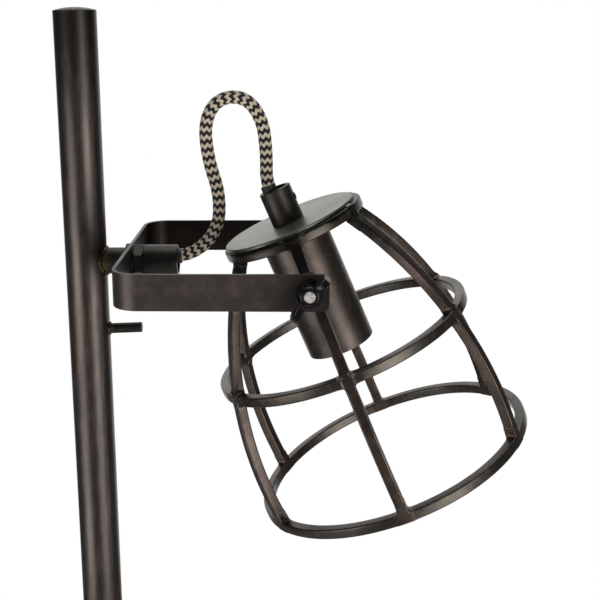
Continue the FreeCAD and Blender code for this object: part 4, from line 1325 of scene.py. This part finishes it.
    def round_recipe(self) -> Recipe:
        """Build the tree that repeats one rib's welds round the axis.

        Returns:
            The recipe.
        """
        recipe = Recipe("weld_rounds", {"Count": 6, "First Turn": 0.5, "Uneven": 0.0002})
        sheet, given = recipe.sheet, recipe.given
        spots = sheet.add("GeometryNodePoints", {"Count": given["Count"]})
        index = sheet.add("GeometryNodeInputIndex").outputs[0]
        pitch = sheet.math("DIVIDE", 2.0 * math.pi, given["Count"])
        turn = sheet.math("ADD", sheet.math("MULTIPLY", index, pitch), given["First Turn"])
        about = sheet.add("ShaderNodeCombineXYZ", {2: turn})
        placed = sheet.add("GeometryNodeInstanceOnPoints", {"Points": spots.outputs[0],
                                                            "Instance": given["Geometry"],
                                                            "Rotation": about.outputs[0]})
        real = sheet.add("GeometryNodeRealizeInstances", {0: placed.outputs[0]})
        place = sheet.add("GeometryNodeInputPosition").outputs[0]
        lump = sheet.math("SUBTRACT", sheet.noise(place, 420.0, 1.0, 0.5), 0.5)
        push = sheet.math("MULTIPLY", lump, given["Uneven"])
        normal = sheet.add("GeometryNodeInputNormal").outputs[0]
        offset = sheet.add("ShaderNodeVectorMath", {0: normal, "Scale": push}, operation="SCALE")
        shaped = sheet.add("GeometryNodeSetPosition", {"Geometry": real.outputs[0],
                                                       "Offset": offset.outputs[0]})
        recipe.close(shaped.outputs[0])
        return recipe

    def corner_weld(self, form: bmesh.types.BMesh, leg: float, length: float,
                    place: Matrix) -> None:
        """Add one hollow-faced corner weld, rounded at both ends.

        Args:
            form: The mesh that takes it.
            leg: Reach of the weld along each face, in metres.
            length: Its length along the corner, in metres.
            place: Corner at the origin, legs along +X and +Z, length along Y.
        """
        sink = 0.0005
        steps = 9
        slices = 11
        rows = []
        for k in range(slices):
            share = 2.0 * k / (slices - 1) - 1.0
            swell = math.sqrt(max(0.0, 1.0 - abs(share) ** 5)) * 0.9 + 0.1
            reach = leg * swell
            row = [(-sink, -sink), (reach, -sink)]
            for n in range(steps):
                angle = math.pi / 2 * n / (steps - 1)
                row.append((reach * (1.0 - math.sin(angle)), reach * (1.0 - math.cos(angle))))
            row.append((-sink, reach))
            rows.append([form.verts.new(place @ Vector((x, share * length / 2, z)))
                         for x, z in row])
        count = len(rows[0])
        for here, after in zip(rows, rows[1:]):
            for n in range(count):
                form.faces.new((here[n], here[(n + 1) % count], after[(n + 1) % count], after[n]))
        form.faces.new(rows[0])
        form.faces.new(list(reversed(rows[-1])))

    def stub(self, form: bmesh.types.BMesh,
             sections: list[tuple[Vector, Vector, Vector, float, float, float]]) -> None:
        """Add one closed square bar through the given sections.

        Args:
            form: The mesh that takes it.
            sections: Of each: centre, way out, way aside, how far the outer face is filled
                up, half width, and how far the outer corner on the first side is drawn in.
        """
        rows = []
        for centre, out, aside, filled, reach, drawn in sections:
            corners = ((reach + filled - drawn, reach), (reach + filled, -reach),
                       (-reach, -reach), (-reach, reach))
            rows.append([form.verts.new(centre + out * x + aside * y) for x, y in corners])
        for here, after in zip(rows, rows[1:]):
            for n in range(4):
                form.faces.new((here[n], here[(n + 1) % 4], after[(n + 1) % 4], after[n]))
        form.faces.new(rows[0])
        form.faces.new(list(reversed(rows[-1])))

    def fade(self, share: float) -> float:
        """Give a stub's growth over its bar, from the middle out to its sunk ends."""
        step = min(1.0, max(0.0, (abs(share) - 0.3) / 0.7))
        return self.build_up - (self.build_up + self.sink) * step * step * (3.0 - 2.0 * step)

    def rib_stub(self, form: bmesh.types.BMesh, low: float, high: float, swell_at: float,
                 swell: float) -> None:
        """Add the rib's part of a joint, with the rib along +X.

        Args:
            form: The mesh that takes it.
            low: Lowest height of the rib's middle line.
            high: Highest height of it.
            swell_at: Height where the outer face is filled up most.
            swell: How much it is filled up there.
        """
        out, up = self.arc_centre()
        sections = []
        for k in range(self.stub_steps + 1):
            share = 2.0 * k / self.stub_steps - 1.0
            height = (low + high) / 2 + share * (high - low) / 2
            angle = math.asin((height - up) / self.rib_radius)
            way = Vector((math.cos(angle), 0.0, math.sin(angle)))
            centre = Vector((out, 0.0, up)) + way * self.rib_radius
            reach = self.bar / 2 + self.fade(share)
            filled = swell * math.exp(-((height - swell_at) / (3.5 * MM)) ** 2)
            sections.append((centre, way, Vector((0.0, 1.0, 0.0)), filled, reach, 0.0))
        self.stub(form, sections)

    def ring_stub(self, form: bmesh.types.BMesh, rim: float, middle: float, half_length: float,
                  dip: float) -> None:
        """Add the ring's part of a joint, with the rib along +X.

        Args:
            form: The mesh that takes it.
            rim: The ring's outer radius.
            middle: The height of the ring's middle.
            half_length: Length of the stub each side of the rib.
            dip: How far the ring is drawn in at the rib.
        """
        sections = []
        for k in range(self.stub_steps + 1):
            share = 2.0 * k / self.stub_steps - 1.0
            turn = share * half_length / rim
            way = Vector((math.cos(turn), math.sin(turn), 0.0))
            centre = way * (rim - self.bar / 2) + Vector((0.0, 0.0, middle))
            reach = self.bar / 2 + self.fade(share)
            step = (abs(share) * half_length - self.dip_near) / (self.dip_far - self.dip_near)
            step = min(1.0, max(0.0, step))
            drawn = dip * (1.0 - step * step * (3.0 - 2.0 * step))
            sections.append((centre, way, Vector((0.0, 0.0, 1.0)), 0.0, reach, drawn))
        self.stub(form, sections)

    def side_welds(self, form: bmesh.types.BMesh, height: float, way: float, reach: float,
                   leg: float) -> None:
        """Add the two corner welds beside the rib, on one face of a ring.

        Args:
            form: The mesh that takes them.
            height: Height of the ring's face.
            way: 1.0 where the welds stand up from it, -1.0 where they hang.
            reach: Distance of their middle from the axis.
            leg: Reach of the welds along each face.
        """
        for side in (-1.0, 1.0):
            turn = Matrix(((0.0, 1.0, 0.0), (side, 0.0, 0.0), (0.0, 0.0, way))).to_4x4()
            place = Matrix.Translation((reach, side * self.bar / 2, height)) @ turn
            self.corner_weld(form, leg, self.bar, place)

    def upper_joint(self, form: bmesh.types.BMesh) -> None:
        """Join one rib to the top ring, with the corner in front filled up.

        Args:
            form: The mesh that takes the solids.
        """
        half = self.bar / 2
        self.rib_stub(form, self.top - 11.0 * MM, self.top + 3.0 * MM, self.top, 0.0)
        self.ring_stub(form, self.top_rim, self.top + half, 9.0 * MM, 0.0)
        self.side_welds(form, self.top, -1.0, self.top_rim - half - 0.3 * MM, self.top_leg)
        _, up = self.arc_centre()
        angle = math.asin((self.top - up) / (self.rib_radius + half))
        slope = Vector((math.sin(angle), 0.0, -math.cos(angle)))
        skew = Matrix((slope, Vector((0.0, 1.0, 0.0)), Vector((0.0, 0.0, 1.0)))).transposed()
        front = Vector((self.top_rim - 0.1 * MM, 0.0, self.top))
        self.corner_weld(form, self.top_leg, self.bar + 0.6 * MM,
                         Matrix.Translation(front) @ skew.to_4x4())

    def lower_joints(self, form: bmesh.types.BMesh) -> None:
        """Join one rib to the middle ring and to the bottom ring.

        Args:
            form: The mesh that takes the solids.
        """
        half = self.bar / 2
        middle = self.mid_height
        self.rib_stub(form, middle - 10.0 * MM, middle + 10.0 * MM, middle + half, 0.15 * MM)
        self.ring_stub(form, self.mid_rim, middle, 11.0 * MM, self.dip)
        for way in (1.0, -1.0):
            self.side_welds(form, middle + way * half, way, self.mid_rim - half, self.low_leg)
        self.rib_stub(form, self.low - 4.0 * MM, self.low + 10.0 * MM, self.low, 0.05 * MM)
        self.ring_stub(form, self.low_rim, self.low - half, 10.0 * MM, 0.0)
        self.side_welds(form, self.low, 1.0, self.low_rim - half, self.low_leg)

    def dressed(self, bench: Bench, name: str,
                lay: Callable[[bmesh.types.BMesh], None]) -> bpy.types.Mesh:
        """Give one rib's joints as a skin, with the rib along +X.

        Args:
            bench: The bench that melts the solids together.
            name: The mesh's name.
            lay: Adds the joints' solids to a mesh.

        Returns:
            The skin.
        """
        form = bmesh.new()
        lay(form)
        bmesh.ops.recalc_face_normals(form, faces=form.faces)
        mesh = bpy.data.meshes.new(name)
        form.to_mesh(mesh)
        form.free()
        return bench.melted(mesh, self.voxel, self.passes)

    def tack(self) -> bpy.types.Mesh:
        """Give one tack weld that bridges the disc's rim and the top ring.

        Returns:
            The tack's mesh.
        """
        form = bmesh.new()
        bmesh.ops.create_uvsphere(form, u_segments=40, v_segments=20, radius=1.0)
        size = Vector(self.tack_size)
        seat = Vector((self.disc_rim + 0.5 * MM, 0.0, self.top + self.bar + 0.2 * MM))
        for vert in form.verts:
            lump = 1.0 + 0.04 * math.sin(7.0 * vert.co.y) * math.cos(5.0 * vert.co.x)
            vert.co = Vector([vert.co[k] * size[k] * lump for k in range(3)]) + seat
        mesh = bpy.data.meshes.new("tack")
        form.to_mesh(mesh)
        form.free()
        return mesh

    def build(self, bench: Bench) -> None:
        """Make the ribs, rings and corner welds.

        Args:
            bench: The bench that finishes the pieces.
        """
        looks = bench.finishes
        out, up = self.arc_centre()
        radius = self.rib_radius
        first = math.asin((self.low - up) / radius)
        last = math.asin((self.top - up) / radius)
        ribs = self.rib_recipe().cast(bench, "cage_ribs", {
            "Arc Radius": radius, "Centre Out": out, "Centre Up": up, "Start": first,
            "Sweep": last - first, "Bar": self.bar, "Corner": self.corner, "Top": self.top,
            "Low": self.low, "Count": self.count, "First Turn": math.radians(self.first_turn)},
            looks.cage, HEAD)
        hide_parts(*self.ribs)
        bench.settle(ribs, looks.cage, Body.HEAD)
        rings = self.ring_recipe()
        half = self.bar / 2
        for name, rim, middle, dip in (
                ("cage_top_ring", self.top_rim, self.top + half, 0.0),
                ("cage_mid_ring", self.mid_rim, self.mid_height, self.dip),
                ("cage_bottom_ring", self.low_rim, self.low - half, 0.0)):
            ring = rings.cast(bench, "bent_" + name, {
                "Rim": rim, "Middle": middle, "Bar": self.bar, "Corner": self.corner, "Dip": dip,
                "Near": self.dip_near, "Far": self.dip_far}, looks.ring, HEAD)
            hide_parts(name)
            bench.settle(ring, looks.ring, Body.HEAD)
        rounds = self.round_recipe()
        for name, seed, count, turn, uneven, look in (
                ("cage_top_welds", self.dressed(bench, "top_welds", self.upper_joint),
                 self.count, self.first_turn, 0.10, looks.cage),
                ("cage_corner_welds", self.dressed(bench, "corner_welds", self.lower_joints),
                 self.count, self.first_turn, 0.08, looks.cage),
                ("disc_tacks", self.tack(), 3, self.tack_turn, 0.1, looks.disc)):
            piece = rounds.cast(bench, name, {"Count": count, "First Turn": math.radians(turn),
                                              "Uneven": uneven * MM}, look, HEAD, seed)
            bench.settle(piece, look, Body.HEAD)
            if name == "cage_corner_welds":
                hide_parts("cage_welds")


@dataclass
class HeadTop:
    """Disc, lampholder and head grip, with the rounding of their edges."""

    disc_edge: float = 0.35 * MM
    sleeve_edge: float = 0.25 * MM
    grip_edge: float = 0.2 * MM
    bush_edge: float = 0.15 * MM
    screw_edge: float = 0.12 * MM
    holder_edge: float = 0.3 * MM

    def build(self, bench: Bench) -> None:
        """Dress the head's turned parts.

        Args:
            bench: The bench that finishes the pieces.
        """
        looks = bench.finishes
        bench.softened("head_disc", looks.disc, Body.HEAD, self.disc_edge, 3)
        bench.softened("holder_sleeve", looks.sleeve, Body.HEAD, self.sleeve_edge)
        bench.softened("head_grip", looks.steel, Body.HEAD, self.grip_edge)
        bench.softened("head_grip_bush", looks.plastic, Body.HEAD, self.bush_edge)
        bench.softened("head_grip_screw", looks.black_steel, Body.HEAD,
                       self.screw_edge)
        bench.softened("holder_cap", looks.plastic, Body.HEAD, self.holder_edge)
        bench.softened("holder_body", looks.plastic, Body.HEAD, self.holder_edge)
        for node, material in (("lamp_shell", looks.brass), ("lamp_contact", looks.brass),
                               ("head_nipple", looks.zinc), ("head_nut", looks.zinc),
                               ("head_lead", looks.lead)):
            bench.dress_node(node, material)


@dataclass
class Yoke:
    """Strap with its swivel fittings and cord grip, with the rounding of their edges."""

    strap_edge: float = 0.35 * MM
    washer_edge: float = 0.25 * MM
    lock_washer_edge: float = 0.15 * MM
    nut_edge: float = 0.25 * MM
    grip_edge: float = 0.2 * MM
    bush_edge: float = 0.15 * MM
    screw_edge: float = 0.12 * MM

    def build(self, bench: Bench) -> None:
        """Dress the yoke's parts.

        Args:
            bench: The bench that finishes the pieces.
        """
        looks = bench.finishes
        bench.softened("yoke_strap", looks.strap, Body.YOKE, self.strap_edge, 3)
        # The swivel's washers, lock nut and grip take the darker steel, as painted shade.
        for node, edge in (("swivel_washer", self.washer_edge),
                           ("lock_washer", self.lock_washer_edge),
                           ("lock_nut", self.nut_edge), ("yoke_grip", self.grip_edge)):
            bench.softened(node, looks.shaded_dark_steel, Body.YOKE, edge)
        bench.softened("yoke_grip_bush", looks.plastic, Body.YOKE, self.bush_edge)
        bench.softened("yoke_grip_screw", looks.black_steel, Body.YOKE,
                       self.screw_edge)
        for node in ("swivel_nipple", "swivel_clip"):
            bench.dress_node(node, looks.zinc)


@dataclass
class TiltPivot:
    """Stud end, washer and wing nut on one side of the yoke."""

    side: str
    body: Body
    voxel: float = 0.28 * MM
    passes: int = 14
    washer_edge: float = 0.2 * MM
    stud_edge: float = 0.15 * MM

    def build(self, bench: Bench) -> None:
        """Make the cast wing nut and dress the stud and washer.

        Args:
            bench: The bench that finishes the pieces.
        """
        looks = bench.finishes
        node = "wing_nut_" + self.side
        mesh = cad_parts[node].data.copy()
        form = bmesh.new()
        form.from_mesh(mesh)
        bmesh.ops.remove_doubles(form, verts=form.verts, dist=MERGE_GAP)
        form.to_mesh(mesh)
        form.free()
        piece = bench.link("cast_" + node, bench.melted(mesh, self.voxel, self.passes))
        for face in piece.data.polygons:
            face.use_smooth = True
        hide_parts(node)
        bench.settle(piece, looks.black_steel, self.body)
        bench.softened("pivot_washer_" + self.side, looks.black_steel,
                       Body.HEAD, self.washer_edge)
        bench.softened("pivot_stud_" + self.side, looks.stud, Body.HEAD,
                       self.stud_edge)


@dataclass
class Stand:
    """Base, pole, swivel tube and stop peg."""

    pole_radius: float = 12.5 * MM
    tube_radius: float = 7.9 * MM
    peg_radius: float = 3.1 * MM
    tube_bead: float = 0.85 * MM
    peg_bead: float = 0.75 * MM
    tube_ripples: float = 34.0
    peg_ripples: float = 15.0
    tube_edge: float = 0.15 * MM
    peg_edge: float = 0.2 * MM
    plate_edge: float = 0.5 * MM
    pad_edge: float = 0.8 * MM
    cap_edge: float = 0.15 * MM
    gland_edge: float = 0.3 * MM
    bolt_edge: float = 0.2 * MM
    screw_edge: float = 0.3 * MM

    def bead_recipe(self) -> Recipe:
        """Build the tree of a rippled bead where a round bar meets the pole.

        Returns:
            The recipe.
        """
        recipe = Recipe("weld_beads", {"Bar Radius": 0.008, "Pole Radius": 0.0125,
                                       "Bead": 0.0009, "Ripples": 22.0})
        sheet, given = recipe.sheet, recipe.given
        loop = sheet.add("GeometryNodeCurvePrimitiveCircle", {"Resolution": 260, "Radius": 1.0},
                         mode="RADIUS")
        place = sheet.add("GeometryNodeInputPosition").outputs[0]
        axes = sheet.add("ShaderNodeSeparateXYZ", {0: place})
        reach = sheet.math("ADD", given["Bar Radius"],
                           sheet.math("MULTIPLY", given["Bead"], 0.35))
        wide = sheet.math("MULTIPLY", axes.outputs[0], reach)
        tall = sheet.math("MULTIPLY", axes.outputs[1], reach)
        squared = sheet.math("SUBTRACT", sheet.math("MULTIPLY", given["Pole Radius"],
                                                    given["Pole Radius"]),
                             sheet.math("MULTIPLY", wide, wide))
        depth = sheet.math("ADD", sheet.math("SQRT", squared),
                           sheet.math("MULTIPLY", given["Bead"], 0.25))
        target = sheet.add("ShaderNodeCombineXYZ", {0: depth, 1: wide, 2: tall})
        laid = sheet.add("GeometryNodeSetPosition", {"Geometry": loop.outputs[0],
                                                     "Position": target.outputs[0]})
        share = sheet.add("GeometryNodeSplineParameter").outputs["Factor"]
        wave = sheet.math("ABSOLUTE", sheet.math("SINE", sheet.math(
            "MULTIPLY", sheet.math("MULTIPLY", share, given["Ripples"]), math.pi)))
        ring = sheet.add("GeometryNodeInputPosition").outputs[0]
        uneven = sheet.noise(ring, 300.0, 2.0, 0.5)
        scale = sheet.math("ADD", sheet.math("MULTIPLY", wave, 0.12),
                           sheet.spread(uneven, 0.3, 0.7, 0.75, 1.05))
        width = sheet.math("MULTIPLY", scale, given["Bead"])
        section = sheet.add("GeometryNodeCurvePrimitiveCircle", {"Resolution": 14,
                                                                 "Radius": 1.0}, mode="RADIUS")
        bead = sheet.add("GeometryNodeCurveToMesh", {"Curve": laid.outputs[0],
                                                     "Profile Curve": section.outputs[0],
                                                     "Scale": width})
        recipe.close(bead.outputs[0])
        return recipe

    def build(self, bench: Bench) -> None:
        """Dress the stand and lay its weld beads.

        Args:
            bench: The bench that finishes the pieces.
        """
        looks = bench.finishes
        recipe = self.bead_recipe()
        for name, radius, bead, ripples, height in (
                ("swivel_weld", self.tube_radius, self.tube_bead, self.tube_ripples,
                 SWIVEL_HEIGHT),
                ("peg_weld", self.peg_radius, self.peg_bead, self.peg_ripples, PEG_HEIGHT)):
            piece = recipe.cast(bench, "rippled_" + name, {
                "Bar Radius": radius, "Pole Radius": self.pole_radius, "Bead": bead,
                "Ripples": ripples}, looks.weld, Matrix.Translation((0.0, 0.0, height)))
            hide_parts(name)
            bench.settle(piece, looks.weld, Body.STAND)
        for node, look, slot, edge in (
                ("swivel_tube", looks.tube, Slot.STEEL, self.tube_edge),
                ("stop_peg", looks.tube, Slot.STEEL, self.peg_edge),
                ("base_plate", looks.steel, Slot.STEEL, self.plate_edge),
                ("foot_pads", looks.rubber, Slot.RUBBER, self.pad_edge),
                # The pole cap takes the darker steel, as painted shade.
                ("pole_cap", looks.shaded_dark_steel, Slot.STEEL, self.cap_edge),
                ("base_gland", looks.plastic, Slot.PLASTIC, self.gland_edge),
                ("base_bolt", looks.zinc, Slot.ZINC, self.bolt_edge),
                ("pole_screws", looks.black_steel, Slot.BLACK_STEEL, self.screw_edge)):
            bench.softened(node, look, Body.STAND, edge)
        for node, material in (("pole_lower", looks.pole), ("pole_upper", looks.pole),
                               ("base_washer", looks.zinc), ("pole_foot", looks.zinc),
                               ("pole_coupler", looks.zinc), ("pole_lead", looks.lead),
                               ("swivel_bush", looks.nylon)):
            bench.dress_node(node, material)


# ----------------------------------------------------------------------- studio

@dataclass(frozen=True)
class Viewpoint:
    """Camera at the photograph's angle, in pixels of the square picture."""

    focal: float = 1009.2
    centre_x: float = 226.7
    centre_y: float = 268.0
    pitch: float = math.radians(13.65)
    roll: float = math.radians(-0.85)
    yaw: float = math.radians(-3.88)
    place: Vector = Vector((0.1240, -0.5838, SWIVEL_HEIGHT + 0.1375))
    sensor: float = 36.0

    def build(self) -> bpy.types.Object:
        """Make the camera.

        Returns:
            The camera's object.
        """
        ahead = Vector((math.sin(self.yaw) * math.cos(self.pitch),
                        math.cos(self.yaw) * math.cos(self.pitch), -math.sin(self.pitch)))
        right = Vector((math.cos(self.yaw), -math.sin(self.yaw), 0.0))
        up = right.cross(ahead)
        tilt_right = right * math.cos(self.roll) + up * math.sin(self.roll)
        tilt_up = up * math.cos(self.roll) - right * math.sin(self.roll)
        lens = bpy.data.cameras.new("photo_view")
        lens.sensor_width = self.sensor
        lens.lens = self.focal / IMAGE_SIDE * self.sensor
        lens.shift_x = (IMAGE_SIDE / 2 - self.centre_x) / IMAGE_SIDE
        lens.shift_y = -(IMAGE_SIDE / 2 - self.centre_y) / IMAGE_SIDE
        lens.clip_start = 0.01
        camera = bpy.data.objects.new("photo_view", lens)
        turn = Matrix((tilt_right, tilt_up, -ahead)).transposed().to_4x4()
        camera.matrix_world = Matrix.Translation(self.place) @ turn
        bpy.context.scene.collection.objects.link(camera)
        bpy.context.scene.camera = camera
        return camera


@dataclass(frozen=True)
class Softbox:
    """One area light, as bright as asked from wherever it is seen."""

    name: str
    place: Place
    aim: Place
    width: float
    height: float
    glow: float

    def build(self) -> None:
        """Make the light."""
        lamp = bpy.data.lights.new(self.name, "AREA")
        lamp.shape = "RECTANGLE"
        lamp.size = self.width
        lamp.size_y = self.height
        lamp.energy = self.glow * math.pi * self.width * self.height
        holder = bpy.data.objects.new(self.name, lamp)
        holder.location = self.place
        gaze = Vector(self.aim) - Vector(self.place)
        holder.rotation_euler = gaze.to_track_quat("-Z", "Y").to_euler()
        holder.visible_camera = False
        bpy.context.scene.collection.objects.link(holder)


@dataclass(frozen=True)
class Studio:
    """Pale floor, pale surroundings and soft lights."""

    floor_radius: float = 0.95
    floor_tone: float = 0.74
    floor_roughness: float = 0.9
    glow: float = 0.13

    def floor(self) -> None:
        """Make the round pale floor."""
        form = bmesh.new()
        bmesh.ops.create_circle(form, cap_ends=True, segments=128, radius=self.floor_radius)
        mesh = bpy.data.meshes.new("studio_floor")
        form.to_mesh(mesh)
        form.free()
        piece = bpy.data.objects.new("studio_floor", mesh)
        bpy.context.scene.collection.objects.link(piece)
        material = bpy.data.materials.new("studio_floor")
        material.use_nodes = True
        shader = material.node_tree.nodes["Principled BSDF"]
        shader.inputs["Base Color"].default_value = (*[self.floor_tone] * 3, 1.0)
        shader.inputs["Roughness"].default_value = self.floor_roughness
        mesh.materials.append(material)

    def surroundings(self) -> None:
        """Light the lamp gently from all round, and show white behind it."""
        world = bpy.data.worlds.new("studio")
        world.use_nodes = True
        tree = world.node_tree
        tree.nodes.clear()
        sheet = NodeSheet(tree)
        seen = sheet.add("ShaderNodeBackground", {"Color": (1.0, 1.0, 1.0, 1.0),
                                                  "Strength": 1.0})
        glow = sheet.add("ShaderNodeBackground", {"Color": (1.0, 0.99, 0.97, 1.0),
                                                  "Strength": self.glow})
        rays = sheet.add("ShaderNodeLightPath")
        pick = sheet.add("ShaderNodeMixShader", {0: rays.outputs["Is Camera Ray"],
                                                 1: glow.outputs[0], 2: seen.outputs[0]})
        way_out = sheet.add("ShaderNodeOutputWorld")
        sheet.join(pick.outputs[0], way_out.inputs[0])
        bpy.context.scene.world = world

    def build(self) -> None:
        """Set up the floor, surroundings and lights."""
        self.floor()
        self.surroundings()
        bpy.context.scene.view_settings.view_transform = "Standard"
        head = (0.13, 0.0, SWIVEL_HEIGHT)
        for box in (Softbox("left_front", (-1.25, -1.20, 0.66), (0.0, 0.0, 0.9), 1.1, 1.2, 4.4),
                    Softbox("right_front", (1.20, -1.24, 0.86), (0.0, 0.0, 1.0), 0.85, 1.4, 5.6),
                    Softbox("overhead", (0.1, 0.5, 2.9), head, 1.9, 1.5, 1.9),
                    Softbox("back_wall", (0.13, 2.1, 1.3), head, 3.6, 3.0, 1.15)):
            box.build()


def main() -> None:
    """Build the camera, the lamp's pieces and the studio."""
    logging.basicConfig(level=logging.INFO, format="%(name)s: %(message)s")
    Viewpoint().build()
    bench = Bench(Finishes())
    assemblies = (TextileCord(), Cage(), HeadTop(), Yoke(), TiltPivot("front", Body.NUT_FRONT),
                  TiltPivot("back", Body.NUT_BACK), Stand())
    for assembly in assemblies:
        assembly.build(bench)
    Studio().build()


if __name__ == "__main__":
    main()
